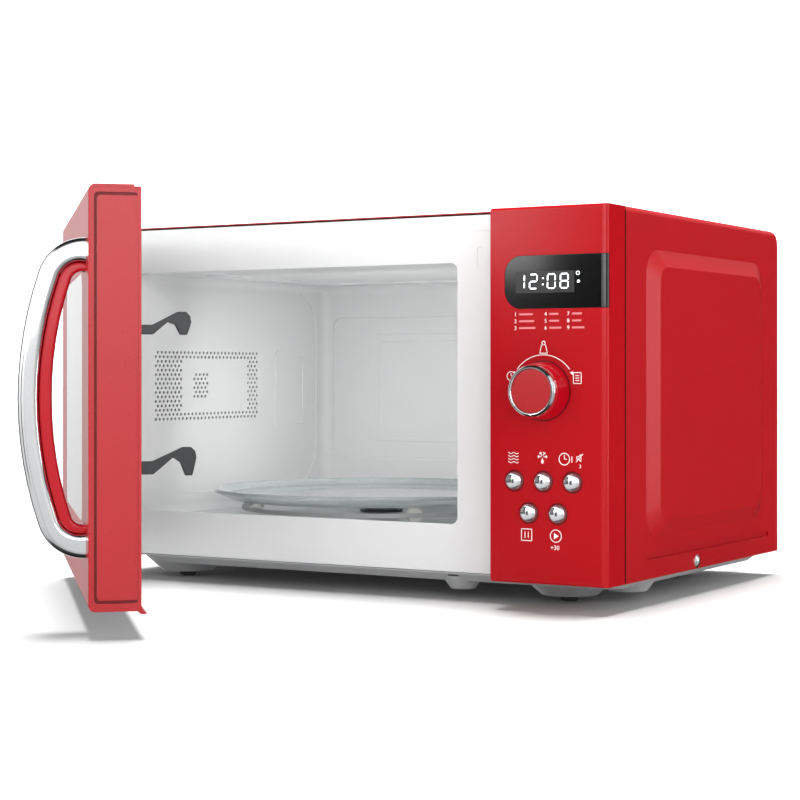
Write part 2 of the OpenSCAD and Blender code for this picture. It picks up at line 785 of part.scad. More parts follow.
// Oval capacitor can with its clamp band and two terminals.
module hv_capacitor() {
    color("silver") cabinet() translate([bay_mid, cap_y, bay_floor]) {
        along_y(-14, 60) round_rect([-26, 4], [26, 36], 15.9);
        along_y(-2, 14) difference() {
            union() {
                round_rect([-27.2, 2.8], [27.2, 37.2], 17.1);
                translate([-34, 0.05]) square([68, 5]);
            }
            round_rect([-26 - eps, 4 - eps], [26 + eps, 36 + eps], 15.9);
        }
        for (s = [-1, 1]) block([s * 12 - 3, -22, 16], [s * 12 + 3, -14 + eps, 17]);
    }
}

// Rectifier between the capacitor's terminal and the chassis.
module hv_diode() {
    color("black") cabinet() translate([bay_mid, cap_y - 26, bay_floor + 16.5]) {
        rotate([0, 90, 0]) translate([0, 0, -9]) cylinder(d = 6, h = 18);
        for (s = [-1, 1]) block([s * 12 - 3 + (s < 0 ? 0 : -0.5), -1, -0.4], [s * 12 + 3, 4, 0.4]);
        translate([0, 0, -16.45]) block([-2, -2, 0], [2, 2, 14.2]);
    }
}

// Moulded duct plate around the fan.
module fan_shroud() {
    color("ivory") cabinet() difference() {
        union() {
            block([bay_x + fit, fan_y, fan_z - 56], [right_x - casing_t - 2, fan_y + 2, fan_z + 56]);
            rod_y(bay_mid, fan_z, fan_d + 9, fan_y, fan_y + 14);
            for (a = [45:90:315]) translate([bay_mid, fan_y, fan_z]) rotate([0, a, 0])
                block([fan_d / 2 + 2.6, 8, -3], [fan_d / 2 + 4.5, 24, 3]);
        }
        rod_y(bay_mid, fan_z, fan_d + 5, fan_y - 1, fan_y + 15);
    }
}

// Shaded-pole motor on a three-armed bracket behind the fan.
module fan_motor() {
    color("dimgray") cabinet() translate([bay_mid, fan_y + 24, fan_z]) {
        difference() {
            union() {
                block([-22, 0, -20], [22, 8, 26]);
                rod_y(0, 0, 16, -5, 0.05);
            }
            rod_y(0, 0, 5 + 2 * running, -6, 9);
        }
        block([-9, -3, 13], [9, 8.5, 25.9]);
        for (a = [45:90:315]) rotate([0, a, 0]) block([14, 0.05, -3], [fan_d / 2 + 4.4, 1.5, 3]);
    }
}

// Fan wheel: a hub with pitched blades, turning on its own shaft.
module fan_blade() {
    color("gold") cabinet() translate([bay_mid, fan_y + 7, fan_z]) {
        rod_y(0, 0, 18, -7, 7);
        rod_y(0, 0, 5, 6, 24);
        intersection() {
            rod_y(0, 0, fan_d, -8, 8);
            for (k = [0:fan_blades - 1]) rotate([0, k * 360 / fan_blades, 0]) rotate([0, 0, 32])
                block([-15, -0.7, 7], [15, 0.7, fan_d / 2 + 2]);
        }
    }
}

// Mains filter board with its choke and fuse, under the casing's top.
module noise_filter() {
    z = ceiling_z + 8;
    color("seagreen") cabinet() translate([bay_mid - 30, filter_y, z]) {
        difference() {
            block([0, 0, 0], [52, 70, 1.6]);
            for (x = [4, 48], y = [4, 66]) translate([x, y, -1]) cylinder(d = 3, h = 4);
        }
        translate([15, 20, 1.6 - eps]) difference() {
            cylinder(d = 22, h = 12);
            translate([0, 0, -1]) cylinder(d = 9, h = 14);
        }
        block([32, 12, 1.6 - eps], [46, 24, 12]);
        translate([10, 52, 5.5]) rotate([0, 90, 0]) cylinder(d = 6, h = 30);
        for (x = [10, 37]) block([x, 48, 1.6 - eps], [x + 3, 56, 6]);
    }
    color("seagreen") cabinet() for (y = [1, 63]) translate([cavity_right - 8, filter_y + y, 0]) {
        block([0, 0, ceiling_z + sheet_t + 0.05], [1.2, 6, z]);
        block([-6, 0, ceiling_z + sheet_t + 0.05], [1.2, 6, ceiling_z + sheet_t + 1.2]);
        block([0, 0, z - 1.2], [bay_mid - 22 - cavity_right + 8, 6, z]);
    }
}

// Thermostat disc on the cavity's ceiling.
module thermal_cutout() {
    top = ceiling_z + sheet_t + 0.05;
    color("saddlebrown") cabinet() translate([cavity_right - 18, plate_y + 90, top]) {
        cylinder(d = 16, h = 4);
        cylinder(d = 11, h = 9);
        for (s = [-1, 1]) block([s * 3 - 0.4, -2.5, 8.9], [s * 3 + 0.4, 2.5, 15]);
        block([-12, -4, 0], [12, 4, 1]);
    }
}

// Lamp socket on the cavity's right wall.
module lamp_holder() {
    color("ivory") cabinet() translate([bay_x + 0.05, lamp_y, lamp_z]) difference() {
        union() {
            block([0, -17, -14], [1.5, 17, 14]);
            rotate([0, 90, 0]) cylinder(d = 26, h = 26);
        }
        translate([-1, 0, 0]) rotate([0, 90, 0]) cylinder(d = 22, h = 24.5);
        translate([20, 0, 0]) rotate([0, 90, 0]) cylinder(d = 14 + 2 * fit, h = 5.6);
    }
}

// Bulb with its cap.
module cavity_lamp() {
    color("lightyellow") cabinet() translate([bay_x + 4, lamp_y, lamp_z]) rotate([0, 90, 0])
        rotate_extrude() polygon([
            for (a = [-90:15:30]) [8 * cos(a), 8 + 8 * sin(a)],
            [6.9, 14], [6.9, 21.4], [0, 21.4]
        ]);
}

// ---- turntable ------------------------------------------------------------

// Flat geared motor that hangs under the cavity floor.
module turntable_motor() {
    top = floor_z - sheet_t - 0.05;
    color("silver") cabinet() translate([tray_x, tray_y, 0]) difference() {
        union() {
            translate([0, 0, top - 16]) cylinder(d = 49, h = 15);
            translate([0, 0, top - 1.2]) linear_extrude(1.2) {
                circle(d = 49);
                for (s = [-1, 1]) translate([s * 29, 0]) circle(d = 10);
                square([58, 10], center = true);
            }
            block([-12, -33, top - 14], [12, -22, top - 3]);
        }
        translate([0, 0, top - 12]) cylinder(d = shaft_d + 2 * running, h = 14);
        for (s = [-1, 1]) translate([s * 29, 0, top - 3]) cylinder(d = 4, h = 4);
    }
}

// Plastic coupler: a disc with a three-lobed driver, on the motor's shaft.
module turntable_coupler() {
    foot = floor_z - sheet_t - 10;
    color("darkslategray") cabinet() translate([tray_x, tray_y, 0]) {
        translate([0, 0, foot]) cylinder(d = shaft_d, h = coupler_z - foot + eps);
        translate([0, 0, coupler_z]) cylinder(d = coupler_d, h = 2);
        translate([0, 0, coupler_z + 2 - eps]) linear_extrude(tray_z - coupler_z - 2 - clear) {
            circle(d = 13);
            for (a = [0:120:240]) rotate(a) {
                translate([0, -3]) square([11, 6]);
                translate([11, 0]) circle(d = 6);
            }
        }
    }
}

// Dark ring whose three inward axles carry the rollers between it and their heads.
module roller_ring() {
    inner = roller_orbit + roller_w / 2 + clear;
    color("dimgray") cabinet() translate([tray_x, tray_y, roller_z]) {
        translate([0, 0, -ring_h / 2]) difference() {
            cylinder(r = inner + ring_w, h = ring_h, $fn = 96);
            translate([0, 0, -1]) cylinder(r = inner, h = ring_h + 2, $fn = 96);
        }
        for (a = roller_angles) rotate(a) rotate([0, 90, 0]) translate([0, 0, roller_orbit]) {
            translate([0, 0, -roller_w / 2 - clear - 0.5])
                cylinder(d = axle_d, h = roller_w + 2 * clear + 1.5);
            translate([0, 0, -roller_w / 2 - clear - 1]) cylinder(d = axle_d + 1.6, h = 1);
        }
    }
}

// Crowned plastic roller, running on its axle.
module roller(i) {
    color("white") cabinet() translate([tray_x, tray_y, roller_z])
        rotate(roller_angles[i]) rotate([0, 90, 0]) translate([0, 0, roller_orbit]) rotate_extrude()
            polygon([
                [axle_d / 2 + running, -roller_w / 2], [roller_d / 2 - 0.6, -roller_w / 2],
                [roller_d / 2, -roller_w / 2 + 0.8], [roller_d / 2, roller_w / 2 - 0.8],
                [roller_d / 2 - 0.6, roller_w / 2], [axle_d / 2 + running, roller_w / 2]
            ]);
}

module roller_1() { roller(0); }
module roller_2() { roller(1); }
module roller_3() { roller(2); }

// Pressed glass tray with a stepped rim and three lugs around the coupler's lobes.
module glass_tray() {
    r = tray_d / 2;
    color("lightcyan") cabinet() translate([tray_x, tray_y, tray_z]) {
        rotate_extrude($fn = 96) polygon([
            [0, 0], [r - 14, 0], [r - 6.5, 3], [r - 0.8, tray_rim - 3.2], [r, tray_rim - 2.2],
            [r, tray_rim - 0.6], [r - 0.6, tray_rim], [r - 3, tray_rim], [r - 4.4, tray_rim - 1.6],
            [r - 10, tray_t + 1.4], [r - 16, tray_t], [0, tray_t]
        ]);
        for (a = [60:120:300]) rotate(a) translate([17, 0, -4]) cylinder(d = 6, h = 4 + eps);
    }
}

// ---- control panel --------------------------------------------------------

// Solid form of the control panel, smaller by inset on its outer faces.
module panel_form(inset) {
    r = panel_r - min(inset, panel_r - 0.5);
    high = panel_top - inset;
    low = low_z + inset;
    intersection() {
        translate([0, 0, low]) linear_extrude(high - low) {
            translate([panel_x + inset, inset]) square([panel_w - 2 * inset - r, panel_d - inset]);
            translate([panel_x + inset, inset + r]) square([panel_w - 2 * inset, panel_d - inset - r]);
            translate([right_x - inset - r, inset + r]) circle(r);
        }
        along_x(panel_x, panel_w) {
            translate([inset, low + panel_edge_r]) square([panel_d, high - low - 2 * panel_edge_r]);
            translate([inset + panel_edge_r, low]) square([panel_d, high - low]);
            for (z = [low + panel_edge_r, high - panel_edge_r])
                translate([inset + panel_edge_r, z]) circle(panel_edge_r);
        }
    }
}

// Outline of the display window in (x, z), running off past the panel's right edge.
module display_outline(grow) {
    h = display_h / 2 + grow;
    low = [panel_x + display_side - grow, display_z - h];
    r = display_r + grow;
    translate([low.x, low.y + r]) square([r + eps, 2 * (h - r)]);
    translate([low.x + r, low.y]) square([right_x - low.x - r + 2, 2 * h]);
    for (z = [low.y + r, low.y + 2 * h - r]) translate([low.x + r, z]) circle(r);
}

// Moulded red panel, open at the back, with the holes of its controls.
module control_panel() {
    color("firebrick") column() difference() {
        union() {
            difference() {
                panel_form(0);
                panel_form(panel_wall);
                block([panel_x + panel_wall, panel_d - 3, low_z + panel_wall],
                    [right_x - panel_wall, panel_d + 1, panel_top - panel_wall]);
            }
            for (p = boss_places) rod_y(p.x, p.y, 7, panel_wall - eps, board_y);
        }
        block([0, panel_d - fit, 0], [right_x + 1, 2 * panel_d, top_z + 1]);
        difference() {
            along_y(-1, panel_r + 1.5) display_outline(0.1);
            panel_form(display_t + 0.1);
        }
        along_y(-1, 8) round_rect([knob_x - 20, display_z - 9], [knob_x + 22, display_z + 9], 1);
        rod_y(knob_x, knob_z, spindle_d + 1.6, -1, 8);
        for (p = button_places) translate([knob_x, 0, low_z + button_low + p.y]) translate([p.x, 0, 0]) {
            rod_y(0, 0, button_recess_d, -1, 0.8);
            rod_y(0, 0, button_d + 2 * clear, -1, 8);
        }
        for (p = boss_places) rod_y(p.x, p.y, 2.6, board_y - 8, board_y + 1);
    }
}

// Glossy dark window, wrapping the panel's right edge.
module display_window() {
    color("black") column() intersection() {
        difference() {
            panel_form(0);
            panel_form(display_t);
        }
        along_y(-1, panel_r + 1.4) display_outline(0);
    }
}

// Lit display behind the window.
module display_module() {
    color("darkslategray") column()
        block([knob_x - 19.5, display_t + 0.1, display_z - 8.5],
            [knob_x + 21.5, board_y - 0.05, display_z + 8.5]);
}

// Circuit board across the panel's bosses.
module control_board() {
    color("green") column() {
        difference() {
            block([panel_x + 5, board_y, low_z + 10], [right_x - 5, board_y + board_t, top_z - 10]);
            for (p = boss_places) rod_y(p.x, p.y, 3, board_y - 1, board_y + 3);
        }
        for (p = button_places) translate([knob_x + p.x, 0, low_z + button_low + p.y])
            block([-3, board_y - 3.2, -3], [3, board_y + eps, 3]);
        for (z = [0, 30]) block([panel_x + 20, board_y + board_t - eps, low_z + 24 + z],
            [panel_x + 38, board_y + 9, low_z + 40 + z]);
        rod_y(panel_x + 58, low_z + 40, 12, board_y + board_t - eps, panel_d - 2.2);
    }
}

// Rotary encoder body on the board.
module encoder() {
    color("silver") column() translate([knob_x, 0, knob_z]) difference() {
        union() {
            block([-6.5, board_y - 7, -6.5], [6.5, board_y - 0.05, 6.5]);
            rod_y(0, 0, spindle_d + 3, 4.6, board_y - 7 + eps);
        }
        rod_y(0, 0, spindle_d + 2 * running, 0, board_y - 2);
    }
}

// Spindle that the knob is pushed on to.
module encoder_shaft() {
    color("gray") column() difference() {
        rod_y(knob_x, knob_z, spindle_d, 6.2 - knob_reach, board_y - 3);
        block([knob_x - 5, -knob_reach - 4, knob_z + spindle_d / 4 - 0.02], [knob_x + 5, -2, knob_z + 5]);
    }
}

// Knob skirt with its socket for the spindle.
module knob_body() {
    flat_z = knob_z + spindle_d / 4;
    color("firebrick") column() difference() {
        union() {
            translate([knob_x, -0.6, knob_z]) rotate([90, 0, 0])
                cylinder(d1 = knob_d, d2 = knob_ring_d + 0.6, h = knob_skirt - 0.6, $fn = 72);
            rod_y(knob_x, knob_z, knob_ring_d - 5.8, 2.2 - knob_reach, -knob_skirt + eps);
        }
        difference() {
            rod_y(knob_x, knob_z, spindle_d, 6 - knob_reach, 1);
            block([knob_x - 5, -knob_reach - 4, flat_z], [knob_x + 5, -2, flat_z + 5]);
        }
        difference() {
            rod_y(knob_x, knob_z, knob_d - 6, 3 - knob_skirt, 1);
            rod_y(knob_x, knob_z, spindle_d + 5, -knob_reach, -1);
        }
    }
}

// Bright ring around the knob's face.
module knob_ring() {
    r = knob_ring_d / 2;
    color("silver") column() translate([knob_x, -knob_skirt - 0.05, knob_z]) rotate([90, 0, 0])
        rotate_extrude($fn = 72) polygon([
            [r - 2.8, 0], [r, 0], [r, knob_ring_h - 2], [r - 0.5, knob_ring_h - 0.8],
            [r - 1.3, knob_ring_h], [r - 1.9, knob_ring_h], [r - 2.6, knob_ring_h - 0.5],
            [r - 2.8, knob_ring_h - 1.2]
        ]);
}

// Coloured cap set into the ring.
module knob_cap() {
    r = knob_ring_d / 2 - 2.9;
    color("firebrick") column() translate([knob_x, 2.2 - knob_reach, knob_z]) rotate([90, 0, 0])
        rotate_extrude($fn = 72) polygon([[0, 0.05], [r, 0.05], [r, 1.1], [r - 0.7, 1.5], [0, 1.7]]);
}

// Domed push button with a collar behind the panel and a stem to its switch.
module button(i) {
    p = button_places[i];
    r = button_d / 2;
    stem_z = 3.4 + button_travel - board_y;
    color("silver") column() translate([knob_x + p.x, 0, low_z + button_low + p.y]) rotate([90, 0, 0])
        rotate_extrude() polygon([
            [0, stem_z], [2, stem_z], [2, -panel_wall - 2.2], [r + 1.4, -panel_wall - 2.2],
            [r + 1.4, -panel_wall - clear], [r, -panel_wall - clear],
            for (a = [0:15:75]) [r * cos(a), 1.2 + 2.4 * sin(a)],
            [0, 3.6]
        ]);
}

module button_1() { button(0); }
module button_2() { button(1); }
module button_3() { button(2); }
module button_4() { button(3); }
module button_5() { button(4); }

// ---- latch and hinges -----------------------------------------------------

// Moulded bracket behind the plate that guides the hooks and holds the switches.
module latch_bracket() {
    tip = door_t + hook_reach;
    low = latch_z - hook_span / 2 - 16;
    high = latch_z + hook_span / 2 + 26;
    color("ivory") cabinet() {
        difference() {
            block([catch_x, plate_back + 0.05, low], [catch_x + 2, tip + 24, high]);
            for (z = [low + 20, high - 30]) along_x(catch_x - 1, 4)
                round_rect([plate_back + 14, z], [tip - 4, z + 14], 4);
        }
        for (s = [-1, 1]) translate([0, 0, s * hook_span / 2])
            block([hook_x - hook_t / 2, plate_back + 0.05, latch_z - 12],
                [catch_x + eps, tip - 10, latch_z - 7.5]);
        block([hook_x - 8, plate_back + 0.05, low], [catch_x + eps, plate_back + 2, low + 6]);
        block([hook_x - 8, plate_back + 0.05, high - 6], [catch_x + eps, plate_back + 2, high]);
        block([hook_x - 8, tip + 22, low + 4], [catch_x + eps, tip + 24, high - 4]);
    }
}

// Three interlock microswitches behind the hooks, as one group.
module door_switches() {
    tip = door_t + hook_reach;
    color("black") cabinet() for (z = [-hook_span / 2, 0, hook_span / 2])
        translate([hook_x, tip, latch_z + z + 2]) {
            difference() {
                block([-5, 2.5, -8], [catch_x - hook_x - 0.05, 21.95, 8]);
                for (k = [-5, 5]) along_x(-6, 14) translate([12 + k, k / 2]) circle(d = 2.4);
            }
            rod_y(0, 0, 3, 1.2, 2.5 + eps);
        }
}

// Steel hinge bracket with its pin, folded from the front plate's lower corner.
module hinge(flip) {
    z = flip ? top_z - hinge_inset : low_z + hinge_inset;
    s = flip ? -1 : 1;
    color("silver") cabinet() translate([pin_x, pin_y, z]) scale([1, 1, s]) {
        linear_extrude(hinge_arm) {
            circle(d = pin_d + 6);
            translate([-pin_d / 2 - 3, 0]) square([pin_d + 6, plate_y - pin_y - 0.05]);
        }
        translate([0, 0, -4]) cylinder(d = pin_d, h = hinge_arm + 9);
        block([-pin_d / 2 - 3, plate_y - pin_y - 0.65, 0], [18, plate_y - pin_y - 0.05, hinge_arm]);
    }
}

module hinge_upper() { hinge(true); }
module hinge_lower() { hinge(false); }

// ---- door -----------------------------------------------------------------

// Outline of the door seen from above, rounded about the pin and at its front edges.
module door_plan() {
    r = 14;
    edge = 1.2;
    left = -right_x;
    translate([left + r, 0]) square([door_w - r - edge, door_t]);
    translate([left + r, edge]) square([door_w - r, door_t - edge]);
    translate([left, r]) square([r, pin_y - r]);
    translate([left + pin_depth, r]) square([r, door_t - r]);
    translate([left + pin_depth, pin_y]) circle(pin_depth);
    translate([left + r, r]) circle(r);
    translate([door_x - edge, edge]) circle(edge);
}

// Outline of the door's free edge in (y, z), rounded at its front corners.
module door_profile() {
    r = door_edge_r;
    translate([r, door_low]) square([door_t - r, door_top - door_low]);
    translate([0, door_low + r]) square([door_t, door_top - door_low - 2 * r]);
    for (z = [door_low + r, door_top - r]) translate([r, z]) circle(r);
}

// Lip under the door's inner side, which hangs below the front plate.
module door_lip() {
    along_x(-right_x + 30, door_w - 30) polygon([
        [door_t - 2.6, door_low + 0.2], [door_t - 0.5, door_low - 1.7], [door_t + 2.9, door_low - 1.7],
        [door_t + 2.9, door_low - 0.9], [door_t + 0.8, door_low + 0.5], [door_t, door_low + 3],
        [door_t - 2.6, door_low + 3]
    ]);
}

// Room that the hinge brackets need in the door as it swings.
module hinge_room() {
    for (flip = [0, 1]) {
        z = flip == 1 ? top_z - hinge_inset : low_z + hinge_inset;
        s = flip == 1 ? -1 : 1;
        translate([pin_x, pin_y, z]) scale([1, 1, s]) {
            translate([0, 0, -0.7]) cylinder(d = pin_d + 7.4, h = hinge_slot);
            block([-30, -pin_d / 2 - 4.5, -0.7], [0, 30, hinge_slot - 0.7]);
            block([-1, 0, -0.7], [pin_d / 2 + 3.7, 30, hinge_slot - 0.7]);
            translate([0, 0, -4.3]) cylinder(d = pin_d + 2 * running, h = hinge_arm + 9.6);
        }
    }
}

module window_outline(grow) {
    low = [-right_x + window_side, mid_z - window_h / 2];
    round_rect(low - [grow, grow], low + [window_w + grow, window_h + grow], window_r + grow);
}

// Moulded door frame: face with the window, walls all round and a solid hinge stile.
module door_frame() {
    color("firebrick") door() difference() {
        union() {
            intersection() {
                translate([0, 0, door_low]) linear_extrude(door_top - door_low) door_plan();
                along_x(-right_x, door_w) door_profile();
            }
            door_lip();
        }
        block([-right_x + stile_w, door_face, door_low + door_wall],
            [door_x - edge_wall, door_t + 1, door_top - 1.6 - door_wall]);
        block([-right_x - 1, door_t - 4.1, door_top - 1.2], [door_x + 1, door_t + 1, door_top + 1]);
        along_y(-1, door_face + 2) window_outline(0);
        edge_recess();
        hinge_room();
        for (z = handle_screw_z) rod_y(handle_x, z, 4.2, -1, door_face + 1);
    }
}

// Stepped field in the door's free edge: a rim, a ledge, a groove and the field.
module edge_recess() {
    rim = 1.8;
    back = door_t - rim;
    along_x(door_x - 0.8, 2) round_rect([rim, door_low + rim], [back, door_top - rim], 2.6);
    difference() {
        along_x(door_x - 2.4, 3) round_rect([3.2, door_low + 4.6], [back, door_top - 4.6], 2.4);
        along_x(door_x - 3, 5) round_rect([4.9, door_low + 6.4], [door_t + 5, door_top - 6.4], 2);
    }
}

// Outer glass, bedded behind the door's face and filling its opening.
module door_glass() {
    color("lightblue") door() {
        along_y(door_face + 0.05, glass_t) window_outline(7);
        along_y(0.3, door_face) window_outline(-0.15);
    }
}

// Perforated steel panel that keeps the microwaves in.
module door_screen() {
    across = floor((window_w - 16) / screen_pitch);
    up = floor((window_h - 16) / screen_pitch);
    first = [(door_x - right_x - (across - 1) * screen_pitch) / 2, mid_z - (up - 1) * screen_pitch / 2];
    color("gray") door() along_y(screen_y, sheet_t) difference() {
        round_rect(screen_low, screen_high, 8);
        for (i = [0:across - 1], j = [0:up - 1])
            translate(first + [i * screen_pitch, j * screen_pitch]) circle(d = screen_hole_d, $fn = 6);
    }
}

// Folded steel channel around the perforated panel, which stands it off the glass.
module door_choke() {
    low = [3, 3];
    wall = [sheet_t, sheet_t];
    color("gray") door() {
        along_y(screen_y + sheet_t, cover_y - screen_y - sheet_t - 0.1) difference() {
            round_rect(screen_low, screen_high, 8);
            round_rect(screen_low + wall, screen_high - wall, 8 - sheet_t);
        }
        along_y(door_face + 0.05, screen_y - door_face - 0.05) difference() {
            round_rect(screen_low + low, screen_high - low, 8);
            round_rect(screen_low + low + wall, screen_high - low - wall, 8 - sheet_t);
        }
    }
}

// Inner cover that closes the choke groove, with slots for the hooks.
module door_inner_cover() {
    color("firebrick") door() difference() {
        along_y(cover_y, cover_t) round_rect([-right_x + stile_w + fit, door_low + door_wall + fit],
            [cover_side, door_top - 1.6 - door_wall - fit], 3);
        along_y(cover_y - 1, cover_t + 2) window_outline(2);
        for (s = [-1, 1]) translate([0, 0, s * hook_span / 2])
            block([hook_x - hook_t / 2 - clear, cover_y - 1, latch_z - 5 - clear],
                [hook_x + hook_t / 2 + clear, door_t + 1, latch_z + 5 + latch_travel + clear]);
        along_y(cover_y - 1, 3.5)
            round_rect([-right_x + 44, low_z + 18], [door_x - 24, door_top - 18], 10);
    }
}

// Point of the handle's outer curve at an angle up from straight out.
function handle_point(a, inside) =
    let (
        s = sign(a),
        bend = abs(a) > bow_half,
        centre = bend ? [0, s * (handle_h / 2 - corner_r)] : [handle_bow - handle_reach, 0],
        r = (bend ? corner_r : handle_bow) - inside
    )
    centre + r * [-cos(a), sin(a)];

// One cross-section of the handle between two depths, as a rounded bar.
function handle_ring(a, inside, t, w, r) =
    [for (q = [0:3], k = [0:3])
        let (
            c = [(q == 0 || q == 3 ? 1 : -1) * (w / 2 - r), (q < 2 ? 1 : -1) * (t / 2 - r)],
            p = c + r * [cos(q * 90 + k * 30), sin(q * 90 + k * 30)],
            at = handle_point(a, inside + t / 2 - p.y)
        )
        [p.x, at.x, at.y]];

// Angles of the handle's sections, from its lower end up, closer together where it bends.
end_angles = [for (a = [-90:6:-bow_half - 3]) a];
handle_angles = [
    each end_angles,
    for (k = [-6:6]) k * bow_half / 6,
    for (k = [len(end_angles) - 1:-1:0]) -end_angles[k]
];

function shell_depth(a) = shell_t + (shell_end_t - shell_t) * pow(abs(a) / 90, 2);

// Bright outer shell of the bow handle.
module handle_shell() {
    color("gainsboro") door() difference() {
        translate([handle_x, 0, handle_mid])
            skin([for (a = handle_angles) handle_ring(a, 0, shell_depth(a), handle_w, 4)]);
        for (z = handle_screw_z) rod_y(handle_x, z, 3.2, -14, 1);
    }
}

// Coloured inner liner of the handle, on the finger side.
module handle_liner() {
    color("firebrick") door() translate([handle_x, 0, handle_mid])
        skin([for (a = handle_angles) let (t = liner_t + liner_gap * (1 - abs(a) / 90))
            handle_ring(a, shell_depth(a) + 0.05, t, handle_w - 3, 2)]);
}

// Two screws that hold the handle from inside the door.
module handle_screws() {
    color("silver") door() for (z = handle_screw_z) {
        rod_y(handle_x, z, 3, -12, door_face + eps);
        translate([handle_x, door_face + 0.05, z]) rotate([-90, 0, 0])
            cylinder(d1 = 8, d2 = 5.5, h = 2.6);
    }
}

// Outline of one hook in (y, z) up to a depth, with a shank of the given height and a low tip.
module hook_outline(reach, shank, rise, tip_low) {
    polygon([
        [cover_y - 4, shank / 2], [door_t + 6.8, shank / 2], [reach - 8, rise], [reach - 3, rise],
        [reach - 0.6, rise - 2.4], [reach, rise - 6], [reach - 1, 1], [reach - 2.4, tip_low],
        [reach - 6.4, tip_low], [reach - 9.4, 3], [reach - 13.6, rise - 6],
        [door_t + 7.3, -shank / 2], [cover_y - 4, -shank / 2]
    ]);
}

// Sliding latch: a strip inside the door with both hooks.
module latch_hooks() {
    reach = door_t + hook_reach;
    color("darkslategray") door() {
        block([hook_x - hook_t / 2, cover_y - 9, latch_z - hook_span / 2 - 12],
            [hook_x + hook_t / 2, cover_y - 3.5, latch_z + hook_span / 2 + 10]);
        along_x(hook_x - hook_t / 2, hook_t) {
            translate([0, latch_z + hook_span / 2]) hook_outline(reach - 3, 5.6, 10.4, -3);
            translate([0, latch_z - hook_span / 2]) hook_outline(reach, 7.6, 11.9, -4.6);
        }
    }
}

spring_turns = 7;
spring_r = 2.2;
spring_wire = 0.35;
spring_h = 20;

// Coil spring that pulls the latch down.
module latch_spring() {
    steps = 10;
    rise = (spring_h - 2 * spring_wire) / (spring_turns * steps);
    z0 = latch_z - hook_span / 2 - 12.3 - spring_h;
    color("silver") door() translate([hook_x, cover_y - 6.2, z0])
        skin([for (i = [0:spring_turns * steps]) let (a = i * 360 / steps, z = spring_wire + i * rise)
            [for (j = [0:5]) let (r = spring_r + spring_wire * cos(j * 60))
                [r * cos(a), r * sin(a), z + spring_wire * sin(j * 60)]]]);
}

outer_casing();
back_panel();
cord_gland();
base_pan();
rubber_feet();
casing_screws();
front_plate();
cavity_left_wall();
cavity_right_wall();
cavity_ceiling();
cavity_floor();
cavity_rear_wall();
waveguide();
waveguide_cover();
magnetron();
hv_transformer();
hv_capacitor();
hv_diode();
fan_shroud();
fan_motor();
fan_blade();
noise_filter();
thermal_cutout();
lamp_holder();
cavity_lamp();
turntable_motor();
turntable_coupler();
roller_ring();
roller_1();
roller_2();
roller_3();
glass_tray();
control_panel();
display_window();
display_module();
control_board();
encoder();
encoder_shaft();
knob_body();
knob_ring();
knob_cap();
button_1();
button_2();
button_3();
button_4();
button_5();
latch_bracket();
door_switches();
hinge_upper();
hinge_lower();
door_frame();
door_glass();
door_screen();
door_choke();
door_inner_cover();
handle_shell();
handle_liner();
handle_screws();
latch_hooks();
latch_spring();
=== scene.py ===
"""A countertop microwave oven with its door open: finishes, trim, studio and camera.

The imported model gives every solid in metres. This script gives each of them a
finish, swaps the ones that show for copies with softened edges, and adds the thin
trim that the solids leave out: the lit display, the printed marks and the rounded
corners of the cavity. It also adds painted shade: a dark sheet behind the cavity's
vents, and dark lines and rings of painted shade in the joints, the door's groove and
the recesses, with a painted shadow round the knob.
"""

import sys

import json
import logging
import math
from collections.abc import Callable, Sequence
from dataclasses import dataclass, field, replace
from enum import Enum, IntEnum
from functools import cache, partial

